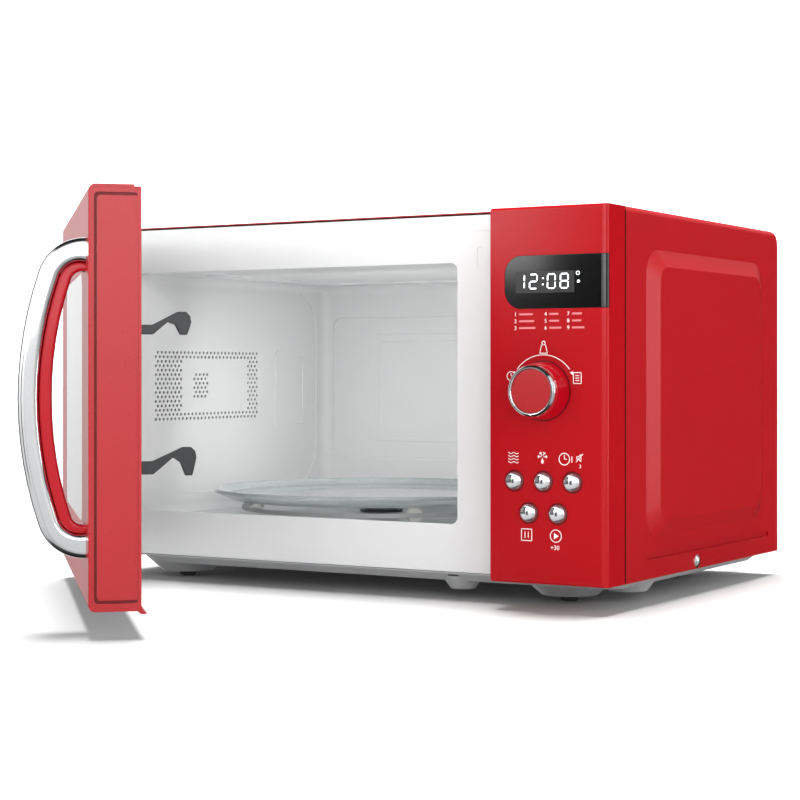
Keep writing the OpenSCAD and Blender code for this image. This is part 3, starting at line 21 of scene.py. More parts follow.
import bpy
from mathutils import Matrix, Vector
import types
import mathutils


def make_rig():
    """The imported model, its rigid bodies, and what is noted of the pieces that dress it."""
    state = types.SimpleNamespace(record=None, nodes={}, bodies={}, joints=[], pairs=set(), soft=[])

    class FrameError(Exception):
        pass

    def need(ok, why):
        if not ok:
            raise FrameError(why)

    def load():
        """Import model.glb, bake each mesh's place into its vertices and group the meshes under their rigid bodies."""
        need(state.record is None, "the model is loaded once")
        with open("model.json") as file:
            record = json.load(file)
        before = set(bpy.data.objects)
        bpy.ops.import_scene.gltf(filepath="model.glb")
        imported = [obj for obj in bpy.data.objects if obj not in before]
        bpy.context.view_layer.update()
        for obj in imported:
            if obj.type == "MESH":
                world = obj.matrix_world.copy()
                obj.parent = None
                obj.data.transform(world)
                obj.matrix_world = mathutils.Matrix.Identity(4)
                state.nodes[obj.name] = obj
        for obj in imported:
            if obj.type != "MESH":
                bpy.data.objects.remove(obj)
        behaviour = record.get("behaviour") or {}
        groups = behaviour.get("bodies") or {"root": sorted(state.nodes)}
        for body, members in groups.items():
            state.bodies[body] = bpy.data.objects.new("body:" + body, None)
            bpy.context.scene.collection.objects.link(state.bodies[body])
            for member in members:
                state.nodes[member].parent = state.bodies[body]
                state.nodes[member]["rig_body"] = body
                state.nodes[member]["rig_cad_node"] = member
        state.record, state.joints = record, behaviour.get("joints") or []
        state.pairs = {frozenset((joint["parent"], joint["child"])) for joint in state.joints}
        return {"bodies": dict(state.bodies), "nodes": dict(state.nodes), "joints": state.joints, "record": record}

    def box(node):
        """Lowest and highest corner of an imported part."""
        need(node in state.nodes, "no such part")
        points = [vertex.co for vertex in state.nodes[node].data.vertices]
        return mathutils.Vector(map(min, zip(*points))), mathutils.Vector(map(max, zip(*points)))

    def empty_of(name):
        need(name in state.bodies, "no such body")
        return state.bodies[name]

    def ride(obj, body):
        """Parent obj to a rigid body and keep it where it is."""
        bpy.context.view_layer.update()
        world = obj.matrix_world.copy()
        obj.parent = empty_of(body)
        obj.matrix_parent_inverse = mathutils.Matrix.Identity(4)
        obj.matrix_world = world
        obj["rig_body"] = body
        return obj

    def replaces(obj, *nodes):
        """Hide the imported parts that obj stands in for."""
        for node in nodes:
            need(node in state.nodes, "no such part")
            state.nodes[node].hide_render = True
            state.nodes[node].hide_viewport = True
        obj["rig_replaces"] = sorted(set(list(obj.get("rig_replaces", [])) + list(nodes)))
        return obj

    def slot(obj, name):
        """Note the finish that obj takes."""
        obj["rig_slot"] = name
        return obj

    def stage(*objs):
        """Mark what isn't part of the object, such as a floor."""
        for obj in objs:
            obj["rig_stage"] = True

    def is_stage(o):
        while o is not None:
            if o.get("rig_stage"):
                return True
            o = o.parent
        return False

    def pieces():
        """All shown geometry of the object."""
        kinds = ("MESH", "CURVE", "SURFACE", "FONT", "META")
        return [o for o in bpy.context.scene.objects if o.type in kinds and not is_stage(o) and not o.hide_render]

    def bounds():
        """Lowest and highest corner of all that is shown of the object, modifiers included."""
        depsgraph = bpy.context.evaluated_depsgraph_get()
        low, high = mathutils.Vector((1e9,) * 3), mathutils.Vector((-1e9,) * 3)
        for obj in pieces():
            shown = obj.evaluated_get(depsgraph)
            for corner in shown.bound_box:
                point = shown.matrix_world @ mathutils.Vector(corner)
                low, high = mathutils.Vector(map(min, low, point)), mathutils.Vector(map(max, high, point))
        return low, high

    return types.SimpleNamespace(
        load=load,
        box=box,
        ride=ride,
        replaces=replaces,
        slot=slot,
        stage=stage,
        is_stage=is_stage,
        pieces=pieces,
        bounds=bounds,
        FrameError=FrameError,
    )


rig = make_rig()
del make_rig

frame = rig.load()
CAD_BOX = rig.bounds()

LOG = logging.getLogger("oven")
MM = 0.001
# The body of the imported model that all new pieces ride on.
CABINET = "cabinet"
# Slack when a vertex is looked for by its angle in degrees, or its place in metres.
NEAR_TURN = 1e-3
NEAR_PLACE = 1e-7
# Depth where the lit clock and the printed marks start. Below zero is before the panel.
CLOCK_DEPTH = -0.05
PRINT_DEPTH = -0.02

Spot = tuple[float, float]
Triple = tuple[float, float, float]
Spots = Sequence[Spot]
Feeds = dict[str | int, object]
Piece = bpy.types.Object
Socket = bpy.types.NodeSocket


class Axis(IntEnum):
    """The three axes, by their place in a vector."""

    X = 0
    Y = 1
    Z = 2


class Relief(Enum):
    """The surface pattern that a finish carries."""

    SMOOTH = "smooth"
    ORANGE_PEEL = "orange peel"
    SPARK = "spark"
    SPANGLE = "spangle"
    BRUSHED = "brushed"
    LAMINATED = "laminated"


@dataclass
class Graph:
    """A tree of shader nodes, with ways to add a node and to feed it."""

    tree: bpy.types.NodeTree

    def feed(self, node: bpy.types.Node, feeds: Feeds) -> None:
        """Links or sets a node's inputs.

        Args:
            node: The node.
            feeds: Another node's output, or a plain value, for each input.
        """
        for name, value in feeds.items():
            if isinstance(value, Socket):
                self.tree.links.new(value, node.inputs[name])
            else:
                node.inputs[name].default_value = value

    def add(self, kind: str, out: str, feeds: Feeds | None = None, **options: str) -> Socket:
        """Adds a node.

        Args:
            kind: Kind of node, without the words that all start with.
            out: Name of the output that is wanted.
            feeds: What its inputs get.
            **options: The node's own settings.

        Returns:
            The output.
        """
        node = self.tree.nodes.new(f"ShaderNode{kind}")
        for name, value in options.items():
            setattr(node, name, value)
        self.feed(node, feeds or {})
        return node.outputs[out]

    def ramp(self, value: Socket, stops: list[tuple[float, Triple]]) -> Socket:
        """Adds a colour ramp over a value.

        Args:
            value: The value that the ramp follows.
            stops: Where each stop lies, and its colour.

        Returns:
            The ramp's colour output.
        """
        colour = self.add("ValToRGB", "Color", {"Fac": value})
        elements = colour.node.color_ramp.elements
        while len(elements) < len(stops):
            elements.new(0.5)
        for element, (where, shade) in zip(elements, stops):
            element.position = where
            element.color = (*shade, 1.0)
        return colour

    def patch(self, level: Socket, side: Socket, heights: Spots, turns: Spots) -> Socket:
        """Multiplies a grey ramp over the height by one over the way round.

        Args:
            level: Height in the surround, from 0 straight below to 1 straight above.
            side: Way round, as a share of a full turn.
            heights: Spots of the first ramp.
            turns: Spots of the second ramp.

        Returns:
            The product's output.
        """
        ramps = {
            number: self.ramp(value, [(where, (grey,) * 3) for where, grey in stops])
            for number, (value, stops) in enumerate(((level, heights), (side, turns)))
        }
        return self.add("Math", "Value", ramps, operation="MULTIPLY")


# Scale of a drawn-out pattern along each axis. It is long where the scale is low.
DRAWN_OUT: dict[Relief, Triple] = {
    Relief.BRUSHED: (0.03, 1.0, 1.0),
    Relief.LAMINATED: (0.05, 0.05, 1.0),
}


@dataclass(frozen=True)
class Finish:
    """One surface finish, built once as a procedural material.

    Lengths are in millimetres and colours are linear.
    """

    slot: str
    colour: Triple
    roughness: float
    metallic: float = 0.0
    relief: Relief = Relief.SMOOTH
    grain: float = 2.0
    layers: float = 2.0
    depth: float = 0.01
    bump: float = 0.6
    drift: float = 60.0
    drift_layers: float = 3.0
    drift_ends: Spot = (0.3, 0.7)
    wander: float = 0.04
    sheen_wander: float = 0.05
    specular: float = 0.5
    transmission: float = 0.0
    ior: float = 1.5
    glow: float = 0.0

    def build(self, name: str) -> bpy.types.Material:
        """Makes the material.

        Args:
            name: The material's name.

        Returns:
            The new material.
        """
        material = bpy.data.materials.new(name)
        material.use_nodes = True
        graph = Graph(material.node_tree)
        place = graph.add("TexCoord", "Object")
        drift = self._noise(graph, place, self.drift, self.drift_layers)
        fine = self._pattern(graph, place)
        shares = (1.0 - self.wander, 1.0 + self.wander)
        shades = [tuple(min(1.0, c * share) for c in self.colour) for share in shares]
        sheen = {
            "Value": fine,
            "To Min": self.roughness * (1.0 - self.sheen_wander),
            "To Max": self.roughness * (1.0 + self.sheen_wander),
        }
        feeds = {
            "Base Color": graph.ramp(drift, list(zip(self.drift_ends, shades))),
            "Roughness": graph.add("MapRange", "Result", sheen),
            "Metallic": self.metallic,
            "Specular IOR Level": self.specular,
            "Transmission Weight": self.transmission,
            "IOR": self.ior,
        }
        if self.glow:
            feeds |= {"Emission Color": (*self.colour, 1.0), "Emission Strength": self.glow}
        if self.relief is not Relief.SMOOTH:
            ripple = {"Strength": self.bump, "Distance": self.depth * MM, "Height": fine}
            feeds["Normal"] = graph.add("Bump", "Normal", ripple)
        graph.feed(material.node_tree.nodes["Principled BSDF"], feeds)
        return material

    @staticmethod
    def _noise(graph: Graph, place: Socket, size: float, layers: float) -> Socket:
        """Adds a noise with a size in millimetres and some finer layers, and returns it."""
        feeds = {"Vector": place, "Scale": 1.0 / (size * MM), "Detail": layers}
        return graph.add("TexNoise", "Fac", feeds)

    def _pattern(self, graph: Graph, place: Socket) -> Socket:
        """Adds the fine pattern of the finish.

        Args:
            graph: The material's nodes.
            place: The piece's own coordinates.

        Returns:
            The pattern's value output.
        """
        if self.relief is Relief.SPANGLE:
            feeds = {"Vector": place, "Scale": 1.0 / (self.grain * MM)}
            cells = graph.add("TexVoronoi", "Color", feeds)
            return graph.add("RGBToBW", "Val", {"Color": cells})
        if self.relief in DRAWN_OUT:
            feeds = {"Vector": place, "Scale": DRAWN_OUT[self.relief]}
            place = graph.add("Mapping", "Vector", feeds)
        return self._noise(graph, place, self.grain, self.layers)


# Painted, enamelled and glass surfaces ripple like orange peel. Moulded and printed
# ones are finely sparked.
rippled = partial(Finish, relief=Relief.ORANGE_PEEL)
sparked = partial(Finish, relief=Relief.SPARK)

CASING_RED = rippled(
    "casing_red", (0.39, 0.0056, 0.0098), 0.30, grain=3.0, depth=0.005, specular=0.25,
    wander=0.02,
)
PANEL_RED = rippled(
    "panel_red", (0.385, 0.0036, 0.0075), 0.18, grain=6.0, depth=0.003, specular=0.26,
    wander=0.02,
)
DOOR_RED = sparked("panel_red", (0.38, 0.0070, 0.0105), 0.28, grain=1.2, depth=0.006, wander=0.03)
KNOB_RED = rippled(
    "panel_red", (0.40, 0.0012, 0.008), 0.16, grain=8.0, depth=0.002, specular=0.4, wander=0.02,
)
PLATE_WHITE = rippled(
    "enamel_white", (0.775, 0.778, 0.78), 0.24, grain=5.0, depth=0.003, wander=0.008,
)
CAVITY_WHITE = rippled(
    "enamel_white", (0.80, 0.803, 0.805), 0.22, grain=4.0, depth=0.005, wander=0.012,
)
ZINC = Finish(
    "zinc_steel", (0.60, 0.61, 0.62), 0.38, metallic=0.85, relief=Relief.SPANGLE, grain=9.0,
    depth=0.003, wander=0.05, sheen_wander=0.3,
)
CHROME = Finish(
    "chrome", (0.90, 0.91, 0.92), 0.06, metallic=1.0, grain=14.0, wander=0.01, sheen_wander=0.3,
)
# Dark steel of the door's screen and choke. The same finish is the painted shade of the sheet behind the cavity's
# vents.
SCREEN_STEEL = sparked("screen_steel", (0.05, 0.05, 0.055), 0.4, grain=1.5, depth=0.005)
RUBBER = sparked("rubber", (0.012, 0.012, 0.012), 0.75, grain=0.8, depth=0.02)
TRAY_GLASS = rippled(
    "tray_glass", (0.86, 0.92, 0.92), 0.05, grain=22.0, depth=0.02, transmission=0.72,
    ior=1.42, wander=0.01,
)
DOOR_GLASS = rippled(
    "door_glass", (0.30, 0.30, 0.31), 0.03, grain=40.0, depth=0.004, transmission=1.0,
    wander=0.01,
)
LAMP_GLASS = rippled(
    "lamp_glass", (0.97, 0.95, 0.88), 0.05, grain=9.0, depth=0.01, transmission=0.9, wander=0.01,
)
BLACK_GLOSS = rippled(
    "black_gloss", (0.003, 0.003, 0.0034), 0.10, grain=12.0, depth=0.002, specular=0.66,
)
HOOK_GREY = sparked(
    "dark_plastic", (0.016, 0.017, 0.019), 0.34, grain=0.9, depth=0.012, wander=0.1,
)
# The buttons' chrome glows faintly: a painted sheen that lifts the greys it mirrors.
BUTTON_CHROME = replace(CHROME, colour=(0.92, 0.93, 0.94), glow=0.06)
RING_GREY = sparked("light_plastic", (0.42, 0.43, 0.43), 0.4, grain=1.0, depth=0.01)
PAN_STEEL = rippled(
    "zinc_steel", (0.50, 0.505, 0.51), 0.42, metallic=0.2, grain=6.0, depth=0.003, wander=0.03,
    sheen_wander=0.1,
)
# Painted shade: a dark red laid in the door's groove and the buttons' recesses, and as a painted shadow round the
# knob.
SHADE_RED = rippled(
    "panel_red", (0.13, 0.0012, 0.003), 0.35, grain=6.0, depth=0.003, specular=0.25, wander=0.03,
)
# Painted shade: a near-black red laid in the seam between the control panel and the casing.
SEAM_DARK = sparked(
    "panel_red", (0.018, 0.0008, 0.001), 0.6, grain=1.0, depth=0.004, specular=0.1,
)
LIGHT_PLASTIC = sparked("light_plastic", (0.74, 0.74, 0.70), 0.42, grain=1.0, depth=0.01)
BOARD_GREEN = sparked("board_green", (0.03, 0.20, 0.09), 0.4, grain=2.5, depth=0.02, wander=0.25)
CORE_STEEL = Finish(
    "core_steel", (0.24, 0.19, 0.13), 0.45, metallic=0.6, relief=Relief.LAMINATED, grain=0.5,
    depth=0.05, wander=0.15,
)
MICA = Finish(
    "mica", (0.62, 0.52, 0.36), 0.4, relief=Relief.SPANGLE, grain=3.0, depth=0.01, wander=0.15,
)
ALUMINIUM = Finish(
    "aluminium", (0.72, 0.73, 0.74), 0.32, metallic=1.0, relief=Relief.BRUSHED, grain=0.3,
    depth=0.004,
)
PRINT_WHITE = sparked("light_plastic", (0.93, 0.86, 0.86), 0.45, grain=0.4, depth=0.003)
PRINT_PINK = sparked("light_plastic", (0.72, 0.22, 0.23), 0.45, grain=0.4, depth=0.003)
DIGIT_LIGHT = Finish("light_plastic", (0.95, 0.98, 1.0), 0.5, glow=1.6, wander=0.0)
LCD_GREY = sparked("black_gloss", (0.022, 0.022, 0.023), 0.22, grain=0.5, depth=0.003)
FLOOR_WHITE = sparked(
    "floor", (0.54, 0.54, 0.54), 0.75, grain=40.0, depth=0.01, wander=0.005, specular=0.0,
)
BACKDROP_WHITE = Finish("floor", (1.0, 1.0, 1.0), 0.9, glow=1.0, wander=0.0, specular=0.0)

NODE_FINISHES: dict[Finish, tuple[str, ...]] = {
    CASING_RED: ("outer_casing",),
    PANEL_RED: ("control_panel",),
    DOOR_RED: ("door_frame", "door_inner_cover", "knob_cap"),
    KNOB_RED: ("knob_body", "handle_liner"),
    PLATE_WHITE: ("front_plate",),
    CAVITY_WHITE: (
        "cavity_left_wall", "cavity_right_wall", "cavity_ceiling", "cavity_floor",
        "cavity_rear_wall",
    ),
    ZINC: (
        "back_panel", "waveguide", "hinge_upper", "hinge_lower", "turntable_motor",
        "hv_capacitor", "encoder",
    ),
    CHROME: ("handle_shell", "knob_ring", "casing_screws", "handle_screws"),
    BUTTON_CHROME: tuple(f"button_{number}" for number in range(1, 6)),
    SCREEN_STEEL: ("door_screen", "door_choke"),
    RUBBER: ("rubber_feet", "cord_gland"),
    TRAY_GLASS: ("glass_tray",),
    DOOR_GLASS: ("door_glass",),
    LAMP_GLASS: ("cavity_lamp",),
    BLACK_GLOSS: ("display_window", "display_module", "hv_diode", "door_switches"),
    PAN_STEEL: ("base_pan",),
    HOOK_GREY: ("latch_hooks", "turntable_coupler", "fan_motor"),
    RING_GREY: ("roller_ring",),
    LIGHT_PLASTIC: (
        "roller_1", "roller_2", "roller_3", "fan_shroud", "fan_blade", "lamp_holder",
        "latch_bracket", "thermal_cutout",
    ),
    BOARD_GREEN: ("control_board", "noise_filter"),
    CORE_STEEL: ("hv_transformer",),
    MICA: ("waveguide_cover",),
    ALUMINIUM: ("magnetron", "latch_spring", "encoder_shaft"),
}

# The open door stands close before the plate and the panel. Its red isn't cast on them.
UNMIRRORED = ("door_frame", "door_inner_cover")


@cache
def material_of(finish: Finish) -> bpy.types.Material:
    """Returns the material of a finish, named after it and built the first time."""
    name = next(name for name, value in globals().items() if value is finish)
    return finish.build(name.lower())


def paint(piece: Piece, finish: Finish) -> None:
    """Gives a piece one finish all over.

    Args:
        piece: The piece.
        finish: Its finish.
    """
    if not piece.material_slots:
        piece.data.materials.append(None)
    for slot in piece.material_slots:
        slot.material = material_of(finish)


# The modelling moves that the pieces are made with. Sizes are in millimetres.


def clear() -> None:
    """Leaves edit mode and deselects everything."""
    if bpy.context.object and bpy.context.object.mode != "OBJECT":
        bpy.ops.object.mode_set(mode="OBJECT")
    bpy.ops.object.select_all(action="DESELECT")


def pick(piece: Piece) -> None:
    """Makes a piece the only selected and the active one.

    Args:
        piece: The piece.
    """
    clear()
    piece.select_set(True)
    bpy.context.view_layer.objects.active = piece


def choose(piece: Piece, wanted: Callable[[Vector], bool]) -> None:
    """Enters edit mode with only some of the active piece's vertices selected.

    Args:
        piece: The active piece, whose mesh has no faces yet.
        wanted: Tells of a vertex's place whether it is selected.
    """
    for vertex in piece.data.vertices:
        vertex.select = wanted(vertex.co)
    for edge in piece.data.edges:
        edge.select = False
    bpy.ops.object.mode_set(mode="EDIT")


def turn_outwards() -> None:
    """Points all faces of the piece in edit mode outwards and leaves edit mode."""
    bpy.ops.mesh.select_all(action="SELECT")
    bpy.ops.mesh.normals_make_consistent(inside=False)
    bpy.ops.object.mode_set(mode="OBJECT")


def make_block(low: Vector, high: Vector) -> Piece:
    """Makes a box.

    Args:
        low: Lowest corner.
        high: Highest corner.

    Returns:
        The box.
    """
    clear()
    middle, size = (low + high) / 2 * MM, (high - low) * MM
    bpy.ops.mesh.primitive_cube_add(size=1.0, location=middle, scale=size)
    bpy.ops.object.transform_apply(location=True, rotation=True, scale=True)
    return bpy.context.object


def bevel(piece: Piece, width: float, segments: int, angle: float = 30.0) -> None:
    """Rounds a piece's sharp edges with an applied bevel.

    Args:
        piece: The piece to soften.
        width: Width of the bevel.
        segments: Steps in the rounding.
        angle: Least angle between faces, in degrees, that counts as an edge.
    """
    pick(piece)
    rounding = piece.modifiers.new("rounding", "BEVEL")
    rounding.width = width * MM
    rounding.segments = segments
    rounding.limit_method = "ANGLE"
    rounding.angle_limit = math.radians(angle)
    rounding.use_clamp_overlap = True
    rounding.miter_outer = "MITER_ARC"
    bpy.ops.object.modifier_apply(modifier=rounding.name)


def smooth(piece: Piece, angle: float) -> None:
    """Shades a piece smooth across edges flatter than an angle in degrees."""
    pick(piece)
    bpy.ops.object.shade_smooth_by_angle(angle=math.radians(angle))


def even(piece: Piece) -> None:
    """Lets the large faces set the shading, so that they look flat.

    Args:
        piece: The piece.
    """
    pick(piece)
    evening = piece.modifiers.new("evening", "WEIGHTED_NORMAL")
    evening.keep_sharp = True
    bpy.ops.object.modifier_apply(modifier=evening.name)


def join(pieces: list[Piece]) -> Piece:
    """Joins two or more pieces into one.

    Args:
        pieces: The pieces, of which the first takes up the others.

    Returns:
        The joined piece.
    """
    clear()
    for piece in pieces:
        piece.select_set(True)
    bpy.context.view_layer.objects.active = pieces[0]
    bpy.ops.object.join()
    return pieces[0]


def stand(thick: float, place: Matrix) -> Piece:
    """Thickens the flat outline in edit mode and stands it up in an (x, z) plane.

    Args:
        thick: Thickness in depth.
        place: Place and lean of the standing piece, in metres.

    Returns:
        The piece.
    """
    bpy.ops.mesh.select_all(action="SELECT")
    bpy.ops.mesh.extrude_region_move(TRANSFORM_OT_translate={"value": (0, 0, thick * MM)})
    turn_outwards()
    piece = bpy.context.object
    piece.data.transform(place @ Matrix.Rotation(math.radians(90), 4, "X"))
    return piece


def make_bar(start: Vector, end: Vector, width: float, thick: float, cut: float = 0.3) -> Piece:
    """Makes a thin bar with pointed-off corners along a line in an (x, z) plane.

    Args:
        start: One end.
        end: The other end.
        width: Width of the bar across its line.
        thick: Thickness in depth.
        cut: Size of the corners, as a share of the bar's shorter side.

    Returns:
        The bar.
    """
    clear()
    run = end - start
    bpy.ops.mesh.primitive_plane_add(size=1.0)
    bpy.context.object.scale = (run.length * MM, width * MM, 1.0)
    bpy.ops.object.transform_apply(location=False, rotation=False, scale=True)
    bpy.ops.object.mode_set(mode="EDIT")
    bpy.ops.mesh.select_all(action="SELECT")
    corner = min(width, run.length) * cut * MM
    bpy.ops.mesh.bevel(offset=corner, segments=2, affect="VERTICES")
    lean = Matrix.Rotation(-math.atan2(run.z, run.x), 4, "Y")
    return stand(thick, Matrix.Translation((start + end) / 2 * MM) @ lean)


def make_band(
    centre: Vector, radius: float, width: float, thick: float,
    arc: Spot = (0.0, 360.0), steps: int = 48,
) -> Piece:
    """Makes a thin ring, or part of one, in an (x, z) plane.

    Args:
        centre: Middle of the ring.
        radius: Radius of the ring's middle line.
        width: Radial width.
        thick: Thickness in depth.
        arc: First and last angle in degrees, from +X towards +Z.
        steps: Sides of the full circle.

    Returns:
        The ring.
    """
    low, high = arc[0] - NEAR_TURN, arc[1] + NEAR_TURN

    def outside(place: Vector) -> bool:
        """Tells whether a place lies beyond the ends of the arc."""
        turn = math.degrees(math.atan2(place.y, place.x)) % 360.0
        return not (low <= turn <= high or low <= turn - 360.0 <= high)

    clear()
    bpy.ops.mesh.primitive_circle_add(vertices=steps, radius=(radius - width / 2) * MM)
    if arc[1] - arc[0] < 360.0:
        choose(bpy.context.object, outside)
        bpy.ops.mesh.delete(type="VERT")
    else:
        bpy.ops.object.mode_set(mode="EDIT")
    grow = (radius + width / 2) / (radius - width / 2)
    bpy.ops.mesh.select_all(action="SELECT")
    bpy.ops.mesh.extrude_edges_move()
    bpy.ops.transform.resize(value=(grow, grow, 1.0), center_override=(0, 0, 0))
    return stand(thick, Matrix.Translation(centre * MM))


def make_plate(centre: Vector, outline: Spots, thick: float) -> Piece:
    """Makes a thin flat plate of any outline in an (x, z) plane.

    Args:
        centre: Where the outline's origin lies.
        outline: Corners as (x, z) pairs in order.
        thick: Thickness in depth.

    Returns:
        The plate.
    """
    clear()
    bpy.ops.mesh.primitive_circle_add(vertices=len(outline), radius=1.0)
    for vertex, (x, z) in zip(bpy.context.object.data.vertices, outline):
        vertex.co = (x * MM, z * MM, 0.0)
    bpy.ops.object.mode_set(mode="EDIT")
    bpy.ops.mesh.select_all(action="SELECT")
    bpy.ops.mesh.edge_face_add()
    return stand(thick, Matrix.Translation(centre * MM))


def fit_up(piece: Piece, name: str, finish: Finish, body: str = CABINET) -> None:
    """Names and finishes a new piece and lets it ride on its body.

    Args:
        piece: The new piece, in place.
        name: Its name.
        finish: Its finish.
        body: The body it moves with.
    """
    piece.name = piece.data.name = name
    paint(piece, finish)
    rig.ride(piece, body)
    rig.slot(piece, finish.slot)
    triangles = sum(len(p.vertices) - 2 for p in piece.data.polygons)
    LOG.info("%s: %d triangles, %s", piece.name, triangles, finish.slot)


@dataclass
class SoftCopy:
    """A solid swapped for a copy whose edges are rounded and whose faces are smooth.

    The width is in millimetres and the angles are in degrees.
    """

    node: str
    width: float = 0.0
    segments: int = 2
    bevel_angle: float = 30.0
    smooth_angle: float = 40.0
    weld: float = 0.002
    flat_angle: float = 0.6

    def build(self) -> Piece:
        """Makes the copy and puts it in its node's place.

        Returns:
            The copy.
        """
        solid = frame["nodes"][self.node]
        copy = bpy.data.objects.new(self.node, solid.data.copy())
        bpy.context.scene.collection.objects.link(copy)
        pick(copy)
        bpy.ops.object.mode_set(mode="EDIT")
        bpy.ops.mesh.select_all(action="SELECT")
        bpy.ops.mesh.remove_doubles(threshold=self.weld * MM)
        bpy.ops.mesh.dissolve_limited(angle_limit=math.radians(self.flat_angle))
        bpy.ops.mesh.customdata_custom_splitnormals_clear()
        bpy.ops.object.mode_set(mode="OBJECT")
        if self.width:
            bevel(copy, self.width, self.segments, self.bevel_angle)
        smooth(copy, self.smooth_angle)
        even(copy)
        finish = next(f for f, nodes in NODE_FINISHES.items() if self.node in nodes)
        fit_up(copy, f"{self.node}_finished", finish, solid["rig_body"])
        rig.replaces(copy, self.node)
        return copy


# Ends of the segments of a digit, in widths and half heights from its lower left corner.
SEGMENTS: dict[str, tuple[Spot, Spot]] = {
    "a": ((0, 2), (1, 2)), "b": ((1, 2), (1, 1)), "c": ((1, 1), (1, 0)), "d": ((0, 0), (1, 0)),
    "e": ((0, 1), (0, 0)), "f": ((0, 2), (0, 1)), "g": ((0, 1), (1, 1)),
}
LIT: dict[str, str] = {"0": "abcdef", "1": "bc", "2": "abged", "8": "abcdefg"}


@dataclass
class Drawing:
    """What is drawn as (x, z) in millimetres at one depth, to be seen from the front."""

    depth: float

    def at(self, x: float, z: float) -> Vector:
        """Returns a point of the drawing."""
        return Vector((x, self.depth, z))


@dataclass
class Display(Drawing):
    """The lit clock behind the dark window."""

    screen: tuple[Spot, Spot] = ((156.2, 204.0), (197.6, 217.7))
    screen_depth: Spot = (-0.02, 0.2)
    left: float = 156.9
    low: float = 206.8
    digit: Spot = (5.3, 9.0)
    stroke: float = 0.82
    thick: float = 0.12
    trim: float = 0.62
    lean: float = 0.02
    pitch: float = 9.1
    dot: float = 1.0
    dot_shift: float = 0.4
    dot_rises: Spot = (0.28, 0.72)
    dot_pitch: float = 3.7
    pointer: Spot = (199.8, 210.8)
    pointer_outline: Spots = ((0, -0.8), (1.3, -0.8), (2.0, 0), (1.3, 0.8), (0, 0.8))
    ring: Spot = (200.2, 216.0)
    ring_size: Spot = (1.1, 0.34)
    reading: str = "12:08"

    def bars(self, x: float, mark: str) -> list[Piece]:
        """Makes the lit bars of one digit, or the two dots of a colon.

        Args:
            x: Left edge of the digit, or where the digits before the colon end.
            mark: The digit or the colon.

        Returns:
            The bars.
        """
        wide, high = self.digit
        if mark == ":":
            half = Vector((self.dot / 2, 0, 0))
            dots = [self.at(x + self.dot_shift, self.low + high * r) for r in self.dot_rises]
            return [make_bar(dot - half, dot + half, self.dot, self.thick) for dot in dots]
        made = []
        for key in LIT[mark]:
            start, end = (
                self.at(x + wide * right, self.low + high * up / 2) for right, up in SEGMENTS[key]
            )
            gap = (end - start).normalized() * self.stroke * self.trim
            made.append(make_bar(start + gap, end - gap, self.stroke, self.thick))
        return made

    def build(self) -> None:
        """Builds the screen, its digits and the small pointer."""
        front, back = (Vector((0, offset, 0)) for offset in self.screen_depth)
        low, high = (self.at(*corner) for corner in self.screen)
        fit_up(make_block(low + front, high + back), "display_screen", LCD_GREY)
        bars: list[Piece] = []
        x = self.left
        for mark in self.reading:
            bars += self.bars(x, mark)
            x += self.dot_pitch if mark == ":" else self.pitch
        digits = join(bars)
        slant = Matrix.Identity(4)
        slant[0][2] = self.lean
        slant[0][3] = -self.lean * self.low * MM
        digits.data.transform(slant)
        fit_up(digits, "display_digits", DIGIT_LIGHT)
        pointer = make_plate(self.at(*self.pointer), self.pointer_outline, self.thick)
        ring = make_band(self.at(*self.ring), *self.ring_size, self.thick, steps=24)
        fit_up(join([pointer, ring]), "display_pointer", DIGIT_LIGHT)


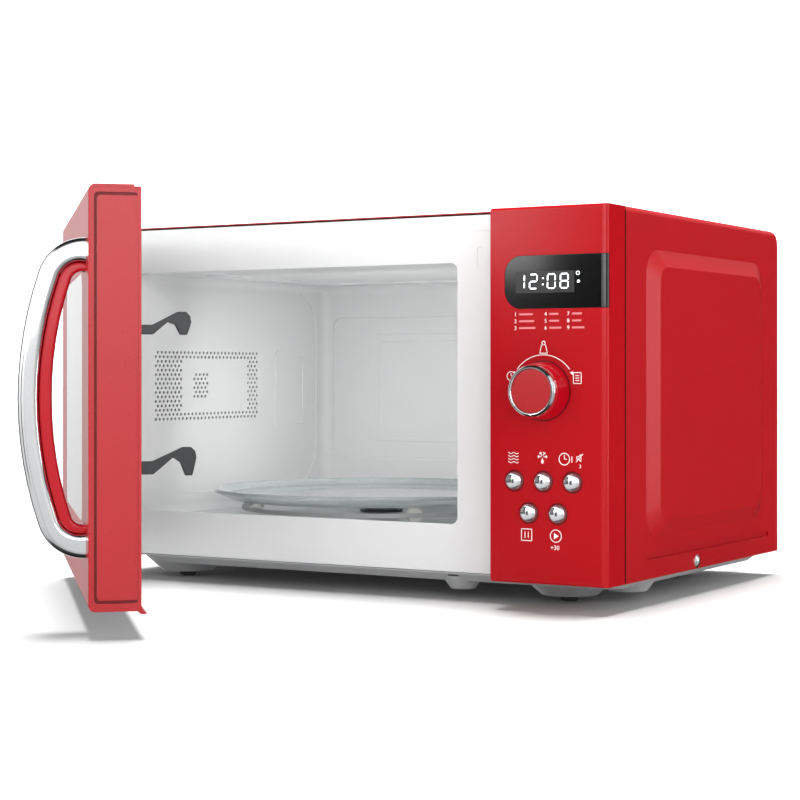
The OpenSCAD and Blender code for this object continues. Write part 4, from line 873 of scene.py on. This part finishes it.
@dataclass
class Marks(Drawing):
    """The marks printed on the control panel."""

    knob: Vector
    line: float = 0.48
    overlap: float = 0.3
    thick: float = 0.07
    arc_radius: float = 23.6
    arc_drop: float = 0.6
    arc_span: Spot = (33.0, 147.0)
    arrow_turn: float = 59.0
    arrow: Spots = ((0.9, -1.7), (0.8, 1.0), (-1.3, 0.1))
    weight: Spot = (176.0, 168.9)
    weight_outline: Spots = ((-1.4, 1.9), (-2.7, -3.4), (2.7, -3.4), (1.4, 1.9))
    weight_eye_rise: float = 3.1
    weight_eye: float = 1.1
    clock: Spot = (152.7, 150.9)
    clock_face: float = 2.9
    clock_hands: Spot = (1.7, 1.3)
    sheet: Spot = (199.8, 149.7)
    sheet_half: Spot = (2.7, 3.4)
    sheet_rises: Triple = (-1.5, 0.0, 1.5)
    sheet_line: float = 1.2
    waves: Spot = (154.4, 98.5)
    wave_rises: tuple[float, ...] = (-2.9, -0.95, 1.0, 2.95)
    wave_steps: int = 4
    wave_reach: float = 0.9
    wave_swing: float = 0.5
    wave_turn: Spot = (1.35, 1.1)
    flake: Spot = (175.2, 99.6)
    flake_arms: tuple[float, ...] = (0.0, 60.0, 120.0, 180.0)
    flake_reach: Spot = (0.9, 3.4)
    flake_squash: float = 0.9
    flake_fork: Spot = (2.0, 1.9)
    flake_barb: float = 1.2
    flake_lean: float = 38.0
    drop: Spots = ((0, 2.6), (0.9, 0.5), (0.7, -0.7), (0, -1.1), (-0.7, -0.7), (-0.9, 0.5))
    timer: Spot = (190.7, 98.4)
    timer_face: float = 3.7
    timer_hands: Spot = (2.5, 1.6)
    speaker: Spot = (199.4, 98.6)
    speaker_dash: Spots = ((-3.4, -2.2), (-3.4, 1.4))
    speaker_horn: Spots = ((0, 0), (1.2, 0), (2.9, -1.6), (2.9, 3.0), (1.2, 1.5), (0, 1.5))
    speaker_cross: Spots = ((-0.4, -1.8), (4.2, 3.2))
    speaker_number: Spot = (201.0, 92.9)
    speaker_number_size: float = 3.2
    pause_key: Spot = (163.9, 49.4)
    pause_half: float = 3.7
    pause_shift: float = 1.2
    pause_reach: float = 1.9
    start_key: Spot = (184.7, 49.4)
    start_face: float = 3.9
    start_arrow: Spots = ((-1.3, -2.0), (2.1, 0.0), (-1.3, 2.0))
    start_number: Spot = (180.9, 40.6)
    start_number_size: float = 4.0
    legend_top: float = 190.6
    legend_pitch: float = 4.4
    legend_size: float = 3.5
    legend_drop: float = 1.3
    legend_columns: tuple[float, ...] = (155.0, 176.6, 192.6)
    legend_ends: tuple[tuple[float, ...], ...] = (
        (13.0, 14.0, 14.8), (9.6, 10.0, 11.6), (10.0, 9.6, 11.8),
    )
    bar: float = 1.15
    bar_start: float = 3.8
    bar_drop: float = 0.15
    made: list[Piece] = field(default_factory=list)

    def path(self, centre: Spot, points: Spots, closed: bool = False) -> None:
        """Draws a line through points.

        Args:
            centre: What the points are measured from.
            points: The points in order.
            closed: Whether the last point joins the first.
        """
        spots = [self.at(centre[0] + x, centre[1] + z) for x, z in points]
        for a, b in zip(spots, spots[1:] + spots[:1] if closed else spots[1:]):
            past = (b - a).normalized() * self.line * self.overlap
            self.made.append(make_bar(a - past, b + past, self.line, self.thick))

    def ring(self, centre: Spot, radius: float, arc: Spot = (0.0, 360.0)) -> None:
        """Draws a circle, or the arc of it from one angle in degrees to another."""
        self.made.append(make_band(self.at(*centre), radius, self.line, self.thick, arc))

    def plate(self, centre: Spot, outline: Spots) -> None:
        """Fills an outline that is drawn about a centre."""
        self.made.append(make_plate(self.at(*centre), outline, self.thick))

    def rectangle(self, centre: Spot, half: Spot) -> None:
        """Draws a rectangle from half its width and half its height."""
        w, h = half
        self.path(centre, [(-w, -h), (w, -h), (w, h), (-w, h)], True)

    def clock_sign(self, centre: Spot, radius: float, hands: Spot) -> None:
        """Draws a clock's face, with an upright hand and a level one of two lengths."""
        self.ring(centre, radius)
        self.path(centre, [(0, hands[0]), (0, 0), (hands[1], 0)])

    def finish(self, name: str, ink: Finish) -> None:
        """Joins what was drawn into one piece, printed in an ink."""
        fit_up(join(self.made), name, ink)
        self.made = []

    def number(self, text: str, corner: Spot, size: float) -> None:
        """Prints a plain number.

        Args:
            text: The digits.
            corner: Left edge and foot of the digits.
            size: Size of the type.
        """
        clear()
        bpy.ops.object.text_add()
        letters = bpy.context.object
        letters.data.body = text
        letters.data.size = size * MM
        letters.data.extrude = self.thick / 2 * MM
        letters.data.resolution_u = 3
        bpy.ops.object.convert(target="MESH")
        place = Matrix.Translation(self.at(*corner) * MM)
        letters.data.transform(place @ Matrix.Rotation(math.radians(90), 4, "X"))
        letters.matrix_world = Matrix.Identity(4)
        self.made.append(letters)

    def dial(self) -> None:
        """Draws the arc over the knob with its arrowheads, weight, clock and list."""
        centre = (self.knob.x, self.knob.z - self.arc_drop)
        self.ring(centre, self.arc_radius, self.arc_span)
        for side in (-1, 1):
            turn = math.radians(90 - side * self.arrow_turn)
            tip = (
                centre[0] + self.arc_radius * math.cos(turn),
                centre[1] + self.arc_radius * math.sin(turn),
            )
            self.plate(tip, [(side * x, z) for x, z in self.arrow])
        self.path(self.weight, self.weight_outline, True)
        self.ring((self.weight[0], self.weight[1] + self.weight_eye_rise), self.weight_eye)
        self.clock_sign(self.clock, self.clock_face, self.clock_hands)
        self.rectangle(self.sheet, self.sheet_half)
        for rise in self.sheet_rises:
            self.path(self.sheet, [(-self.sheet_line, rise), (self.sheet_line, rise)])
        self.finish("dial_marks", PRINT_WHITE)

    def wave_sign(self) -> None:
        """Draws four wavy lines, one over the other."""
        turn, start = self.wave_turn
        swings = [
            (step * self.wave_reach, self.wave_swing * math.sin(step * turn + start))
            for step in range(-self.wave_steps, self.wave_steps + 1)
        ]
        for rise in self.wave_rises:
            self.path(self.waves, [(x, rise + z) for x, z in swings])

    def flake_sign(self) -> None:
        """Draws half a snowflake over a drop."""
        inner, outer = self.flake_reach
        for turn in self.flake_arms:
            across, up = math.cos(math.radians(turn)), math.sin(math.radians(turn))
            end = (outer * across, outer * up * self.flake_squash)
            self.path(self.flake, [(inner * across, inner * up), end])
            x, z = self.flake_fork[0] * across, self.flake_fork[1] * up
            for side in (-self.flake_lean, self.flake_lean):
                lean = math.radians(turn + side)
                reach = (self.flake_barb * math.cos(lean), self.flake_barb * math.sin(lean))
                self.path(self.flake, [(x, z), (x + reach[0], z + reach[1])])
        self.plate((self.flake[0], self.flake[1] - outer), self.drop)

    def speaker_sign(self) -> None:
        """Draws a crossed-out speaker with a short line before it, over a number."""
        self.path(self.speaker, self.speaker_dash)
        self.path(self.speaker, self.speaker_horn, True)
        self.path(self.speaker, self.speaker_cross)
        self.number("3", self.speaker_number, self.speaker_number_size)

    def pause_sign(self) -> None:
        """Draws two upright lines in a square."""
        reach = self.pause_reach
        self.rectangle(self.pause_key, (self.pause_half, self.pause_half))
        for shift in (-self.pause_shift, self.pause_shift):
            self.path(self.pause_key, [(shift, -reach), (shift, reach)])

    def start_sign(self) -> None:
        """Draws an arrowhead in a ring, over a number."""
        self.ring(self.start_key, self.start_face)
        self.plate(self.start_key, self.start_arrow)
        self.number("+30", self.start_number, self.start_number_size)

    def key_signs(self) -> None:
        """Draws the signs over and under the five buttons."""
        self.wave_sign()
        self.flake_sign()
        self.clock_sign(self.timer, self.timer_face, self.timer_hands)
        self.speaker_sign()
        self.pause_sign()
        self.start_sign()
        self.finish("key_marks", PRINT_WHITE)

    def legend(self) -> None:
        """Prints the nine plain numbers, each with a small bare bar, in three columns."""
        places = [
            (x, self.legend_top - row * self.legend_pitch, ends[row])
            for x, ends in zip(self.legend_columns, self.legend_ends) for row in range(3)
        ]
        for count, (x, z, _) in enumerate(places, start=1):
            self.number(str(count), (x, z - self.legend_drop), self.legend_size)
        self.finish("legend_numbers", PRINT_WHITE)
        self.line = self.bar
        for x, z, end in places:
            self.path((x, z - self.bar_drop), [(self.bar_start, 0), (end, 0)])
        self.finish("legend_bars", PRINT_PINK)


@dataclass
class Cavity:
    """The rounded inner corners of the oven cavity, between its sheet walls."""

    radius: float = 7.0
    inset: float = 0.02
    floor: float = 45.5
    mouth: float = 0.2
    steps: int = 48
    smooth_angle: float = 30.0

    def strip(self, name: str, corner: Triple, along: Axis, length: float, away: Spot) -> None:
        """Makes one concave strip in a corner.

        Args:
            name: Name of the piece.
            corner: Where the strip starts, on the line where the two walls meet.
            along: Axis that the strip runs along.
            length: Length of the strip.
            away: Signs of the two directions away from the walls, on the other axes.
        """
        clear()
        r = self.radius * MM
        bpy.ops.mesh.primitive_circle_add(vertices=self.steps, radius=r)
        piece = bpy.context.object
        choose(piece, lambda place: max(place.x, place.y) > NEAR_PLACE)
        bpy.ops.mesh.delete(type="VERT")
        bpy.ops.mesh.select_all(action="SELECT")
        bpy.ops.transform.translate(value=(r, r, 0))
        bpy.ops.object.mode_set(mode="OBJECT")
        places = [vertex.co.copy() for vertex in piece.data.vertices]
        ends = [place for place in places if min(place.x, place.y) < NEAR_PLACE]
        first = min(ends, key=lambda place: place.y)
        choose(piece, lambda place: place == first)
        bpy.ops.mesh.extrude_vertices_move(
            TRANSFORM_OT_translate={"value": (-first.x, -first.y, 0)}
        )
        bpy.ops.mesh.select_all(action="SELECT")
        bpy.ops.mesh.edge_face_add()
        bpy.ops.mesh.extrude_region_move(TRANSFORM_OT_translate={"value": (0, 0, length * MM)})
        bpy.ops.object.mode_set(mode="OBJECT")
        others = [axis for axis in Axis if axis is not along]
        turn = Matrix.Diagonal((0.0, 0.0, 0.0, 1.0))
        turn[others[0]][Axis.X] = away[0]
        turn[others[1]][Axis.Y] = away[1]
        turn[along][Axis.Z] = 1.0
        piece.data.transform(Matrix.Translation(Vector(corner) * MM) @ turn)
        pick(piece)
        bpy.ops.object.mode_set(mode="EDIT")
        turn_outwards()
        smooth(piece, self.smooth_angle)
        fit_up(piece, name, CAVITY_WHITE)

    def build(self) -> None:
        """Builds the strips along the cavity's edges."""
        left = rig.box("cavity_left_wall")[1].x / MM + self.inset
        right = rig.box("cavity_right_wall")[0].x / MM - self.inset
        low = self.floor + self.inset
        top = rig.box("cavity_ceiling")[0].z / MM - self.inset
        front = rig.box("cavity_floor")[0].y / MM + self.mouth
        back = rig.box("cavity_rear_wall")[0].y / MM - self.inset
        deep, wide, tall = back - front, right - left, top - low
        strips = {
            "top_left": ((left, front, top), Axis.Y, deep, (1, -1)),
            "top_right": ((right, front, top), Axis.Y, deep, (-1, -1)),
            "low_left": ((left, front, low), Axis.Y, deep, (1, 1)),
            "low_right": ((right, front, low), Axis.Y, deep, (-1, 1)),
            "back_left": ((left, back, low), Axis.Z, tall, (1, -1)),
            "back_right": ((right, back, low), Axis.Z, tall, (-1, -1)),
            "back_top": ((left, back, top), Axis.X, wide, (-1, -1)),
            "back_low": ((left, back, low), Axis.X, wide, (-1, 1)),
        }
        for name, place in strips.items():
            self.strip(f"corner_{name}", *place)


@dataclass
class VentScreen:
    """A dark sheet of painted shade behind the left wall's vents, so that the holes read as shaded. Distances are in
    millimetres.
    """

    behind: Spot = (3.0, 1.6)
    low_margin: Spot = (20.0, 40.0)
    high_margin: Spot = (60.0, 30.0)
    edge: float = 0.3

    def build(self) -> None:
        """Builds the shade sheet beside the wall, clear of it."""
        low, high = (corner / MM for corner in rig.box("cavity_left_wall"))
        (far, near), (front, foot), (back, head) = self.behind, self.low_margin, self.high_margin
        screen = make_block(
            Vector((low.x - far, low.y + front, low.z + foot)),
            Vector((low.x - near, high.y - back, high.z - head)),
        )
        bevel(screen, self.edge, 2)
        fit_up(screen, "vent_screen", SCREEN_STEEL)


@dataclass
class Trim:
    """Painted shade: thin dark lines in the object's joints and grooves, and dark rings in its recesses. Lengths are
    in millimetres.
    """

    hinge: Spot = (-211.5, 18.0)
    opened: float = 46.7
    groove_reach: Spot = (-2.7, -0.95)
    groove_rear: float = 16.0
    seam_front: float = -1.95
    seam_back: float = -0.45
    seam_t: float = 0.4
    seam_corner: Spot = (216.0, 256.0)
    seam_round: float = 3.87
    seam_side: Triple = (219.7, 220.07, 18.6)
    seam_top: Triple = (259.65, 260.05, 137.6)
    recess: Spot = (5.5, 6.9)
    recess_depth: float = 0.75
    knob_ring: float = 1.2
    knob_gap: float = 0.1
    knob_lift: float = 0.01
    thick: float = 0.05

    def seam(self) -> None:
        """Lays a line of painted shade in the seam between the control panel and the casing."""
        x, z = self.seam_corner
        front, back = self.seam_front, self.seam_back
        (inner, outer, foot), (under, over, start) = self.seam_side, self.seam_top
        pieces = [
            make_block(Vector((inner, front, foot)), Vector((outer, back, z))),
            make_block(Vector((start, front, under)), Vector((x, back, over))),
            make_band(
                Vector((x, back, z)), self.seam_round, self.seam_t, back - front, (0.0, 90.0)
            ),
        ]
        fit_up(join(pieces), "panel_seam", SEAM_DARK)

    def groove(self, door: Piece) -> None:
        """Paints shade into the groove sunk into the door's free edge, as a dark red on its faces.

        Args:
            door: The finished copy of the door's frame.
        """
        swing = Matrix.Rotation(math.radians(self.opened), 3, "Z")
        hinge = Vector((*self.hinge, 0.0))
        edge = max((swing @ (v.co / MM - hinge)).x for v in door.data.vertices)
        door.data.materials.append(material_of(SHADE_RED))
        low, high = self.groove_reach
        for face in door.data.polygons:
            place = swing @ (face.center / MM - hinge)
            if low < place.x - edge < high and place.y < self.groove_rear:
                face.material_index = 1

    def recesses(self) -> None:
        """Lays a ring of painted shade in the recess round each button, and a ring of painted shadow round the knob's
        foot.
        """
        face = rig.box("control_panel")[0].y / MM
        middle, width = sum(self.recess) / 2, self.recess[1] - self.recess[0]
        rings = []
        # Painted shade: a dark ring on the floor of each button's recess.
        for button in NODE_FINISHES[BUTTON_CHROME]:
            low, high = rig.box(button)
            hub = (low + high) / 2 / MM
            hub.y = face + self.recess_depth
            rings.append(make_band(hub, middle, width, self.thick, steps=40))
        # Painted shadow: a dark ring on the panel round the knob's foot.
        low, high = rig.box("knob_body")
        hub, radius = (low + high) / 2 / MM, (high.x - low.x) / 2 / MM + self.knob_gap
        hub.y = face - self.knob_lift
        rings.append(make_band(hub, radius, self.knob_ring, self.thick, steps=64))
        fit_up(join(rings), "button_recesses", SHADE_RED)


@dataclass(frozen=True)
class SoftBox:
    """One soft box light. Places and sizes are in metres and the power is in watts."""

    name: str
    place: Triple
    aim: Triple
    size: Spot
    power: float
    mirrored: bool = True

    def hang(self) -> None:
        """Hangs the light, facing its aim and hidden from the camera."""
        clear()
        bpy.ops.object.light_add(type="AREA", location=self.place)
        lamp = bpy.context.object
        lamp.name = self.name
        lamp.data.shape = "RECTANGLE"
        lamp.data.size, lamp.data.size_y = self.size
        lamp.data.energy = self.power
        facing = Vector(self.aim) - Vector(self.place)
        lamp.rotation_euler = facing.to_track_quat("-Z", "Y").to_euler()
        lamp.visible_camera = False
        if not self.mirrored:
            lamp.visible_glossy = lamp.visible_transmission = False


@dataclass(frozen=True)
class Flag:
    """A dark patch in the surround, where both ramps are at one."""

    heights: Spots
    turns: Spots


PANEL_EDGE = (0.22, -0.03, 0.3)
SOFT_BOXES: tuple[SoftBox, ...] = (
    SoftBox("panel_glow", (-0.79, -1.2, 0.5845), (-0.79, 0, 0.5845), (0.75, 0.6), 5.2),
    SoftBox("soft_left", (-1.5, -2.05, 1.08), (0.1, 0, 0.3), (1.25, 1.5), 4.0),
    SoftBox("edge_strip_near", (0.429, -2.42, 0.75), PANEL_EDGE, (0.1, 1.0), 2.6),
    SoftBox("edge_strip_far", (2.186, -1.407, 0.75), PANEL_EDGE, (0.1, 1.0), 2.6),
    SoftBox("soft_camera", (1.63, -2.3, 0.8), (0.0, -0.2, 0.2), (0.8, 1.1), 9.0),
    SoftBox("soft_right", (2.9, -1.9, 1.0), (-0.1, 0, 0.15), (0.9, 1.5), 16.0),
    SoftBox("strip_right", (2.1, 1.02, 0.55), (0.2, 0.1, 0.15), (0.4, 1.3), 6.5),
    SoftBox(
        "cavity_fill", (-0.02, 0.05, 0.14), (-0.02, 0.3, 0.09), (0.2, 0.11), 0.175,
        mirrored=False,
    ),
)
# Dark where the flat front and the flat right side mirror the room, so that their
# gloss stays clear.
FLAGS: tuple[Flag, ...] = (
    Flag(
        ((0.0, 0.0), (0.36, 0.0), (0.39, 1.0), (0.56, 1.0), (0.59, 0.0), (1.0, 0.0)),
        ((0.0, 0.0), (0.155, 0.0), (0.176, 1.0), (0.20, 1.0), (0.215, 0.0), (1.0, 0.0)),
    ),
    Flag(
        ((0.0, 1.0), (0.55, 1.0), (0.60, 0.0), (1.0, 0.0)),
        ((0.0, 0.0), (0.60, 0.0), (0.635, 1.0), (0.74, 1.0), (0.78, 0.0), (1.0, 0.0)),
    ),
)


@dataclass
class Studio:
    """Plain pale floor, soft lights and the camera. Lengths are in metres."""

    floor_size: float = 40.0
    wall_radius: float = 19.0
    wall_height: float = 30.0
    wall_middle: float = 14.0
    place: Triple = (0.73452, -1.13484, 0.15327)
    turn: float = 31.04
    lens: float = 87.29
    sensor: float = 36.0
    shift: float = -0.0345
    near: float = 0.01
    sun_turn: Spot = (-7.0, -3.0)
    sun_spread: float = 25.0
    sun_power: float = 7.3
    flag_light: float = 0.02
    height_stops: Spots = (
        (0.0, 0.02), (0.12, 0.05), (0.20, 0.45), (0.44, 0.62), (0.53, 0.95), (0.80, 1.0),
        (0.87, 0.8), (0.90, 0.03), (1.0, 0.03),
    )
    round_stops: Spots = (
        (0.0, 0.06), (0.015, 0.06), (0.05, 1.2), (0.28, 1.2), (0.31, 0.95), (0.42, 1.0),
        (0.50, 0.6), (0.56, 0.8), (0.605, 0.8), (0.66, 0.35), (0.76, 0.35),
        (0.80, 0.12), (0.85, 1.22), (0.90, 1.22), (0.92, 0.06), (1.0, 0.06),
    )

    def floor(self) -> None:
        """Lays the floor."""
        clear()
        bpy.ops.mesh.primitive_plane_add(size=self.floor_size)
        floor = bpy.context.object
        floor.name = "studio_floor"
        floor.visible_glossy = False
        paint(floor, FLOOR_WHITE)
        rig.stage(floor)

    def backdrop(self) -> None:
        """Stands a plain white wall round the floor, far behind everything."""
        clear()
        bpy.ops.mesh.primitive_cylinder_add(
            vertices=96, radius=self.wall_radius, depth=self.wall_height,
            end_fill_type="NOTHING", location=(0, 0, self.wall_middle),
        )
        wall = bpy.context.object
        wall.name = "studio_backdrop"
        wall.visible_diffuse = wall.visible_glossy = wall.visible_shadow = False
        paint(wall, BACKDROP_WHITE)
        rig.stage(wall)

    def sky(self) -> None:
        """Sets the pale surround, with darker bands for the bright metal to mirror."""
        world = bpy.data.worlds.new("studio_sky")
        bpy.context.scene.world = world
        world.use_nodes = True
        graph = Graph(world.node_tree)
        coords = graph.add("TexCoord", "Generated")
        rise = graph.add("SeparateXYZ", "Z", {"Vector": coords})
        level = graph.add("MapRange", "Result", {"Value": rise, "From Min": -1.0})
        side = graph.add("TexGradient", "Fac", {"Vector": coords}, gradient_type="RADIAL")
        light = graph.patch(level, side, self.height_stops, self.round_stops)
        for flag in FLAGS:
            shade = graph.patch(level, side, flag.heights, flag.turns)
            feeds = {"Value": shade, "To Min": light, "To Max": self.flag_light}
            light = graph.add("MapRange", "Result", feeds)
        graph.feed(world.node_tree.nodes["Background"], {"Color": light})

    def sun(self) -> None:
        """Adds the broad light from above that whitens the floor."""
        clear()
        bpy.ops.object.light_add(type="SUN", location=(0, 0, 3))
        lamp = bpy.context.object
        lamp.name = "soft_above"
        lamp.data.energy = self.sun_power
        lamp.data.angle = math.radians(self.sun_spread)
        lamp.rotation_euler = (*(math.radians(turn) for turn in self.sun_turn), 0.0)
        lamp.visible_glossy = False

    def camera(self) -> None:
        """Sets up the camera, level, before the oven's right front."""
        data = bpy.data.cameras.new("camera")
        camera = bpy.data.objects.new("camera", data)
        bpy.context.scene.collection.objects.link(camera)
        camera.location = self.place
        camera.rotation_euler = (math.radians(90), 0, math.radians(self.turn))
        data.lens = self.lens
        data.sensor_width = self.sensor
        data.shift_y = self.shift
        data.clip_start = self.near
        bpy.context.scene.camera = camera
        bpy.context.scene.view_settings.view_transform = "Standard"

    def build(self) -> None:
        """Builds the studio."""
        self.floor()
        self.backdrop()
        self.sky()
        self.sun()
        for box in SOFT_BOXES:
            box.hang()
        self.camera()


SOFTENED: tuple[SoftCopy, ...] = (
    SoftCopy("outer_casing", smooth_angle=14.0),
    SoftCopy("control_panel", 0.35),
    SoftCopy("display_window", 0.3),
    SoftCopy("door_frame", 0.65, 3, bevel_angle=40.0),
    SoftCopy("door_inner_cover", 0.6, bevel_angle=40.0),
    SoftCopy("front_plate", 0.2),
    SoftCopy("cavity_rear_wall", 0.4),
    SoftCopy("cavity_ceiling", 0.4),
    SoftCopy("knob_body", 0.5, 3),
    SoftCopy("knob_ring"),
    SoftCopy("knob_cap"),
    SoftCopy("handle_shell", smooth_angle=50.0),
    SoftCopy("handle_liner", smooth_angle=50.0),
    SoftCopy("latch_hooks", 0.5, 3),
    SoftCopy("glass_tray", smooth_angle=45.0),
    SoftCopy("base_pan", 0.4),
    *(SoftCopy(button, smooth_angle=45.0) for button in NODE_FINISHES[BUTTON_CHROME]),
)


def main() -> None:
    """Builds everything in order and keeps the two boxes."""
    logging.basicConfig(level=logging.INFO, format="%(name)s %(message)s")
    for finish, nodes in NODE_FINISHES.items():
        for node in nodes:
            paint(frame["nodes"][node], finish)
    trim = Trim()
    for copy in SOFTENED:
        piece = copy.build()
        if copy.node in UNMIRRORED:
            piece.visible_diffuse = piece.visible_glossy = False
        if copy.node == "door_frame":
            trim.groove(piece)
        piece.visible_shadow = copy.node != "glass_tray"
    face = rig.box("control_panel")[0].y / MM
    Display(face + CLOCK_DEPTH).build()
    low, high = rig.box("knob_ring")
    marks = Marks(face + PRINT_DEPTH, (low + high) / 2 / MM)
    marks.dial()
    marks.key_signs()
    marks.legend()
    Cavity().build()
    VentScreen().build()
    trim.seam()
    trim.recesses()
    Studio().build()
    clear()
    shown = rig.bounds()
    with open("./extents.json", "w") as out:
        json.dump({"cad": [list(v) for v in CAD_BOX], "visual": [list(v) for v in shown]}, out)


if __name__ == "__main__":
    main()
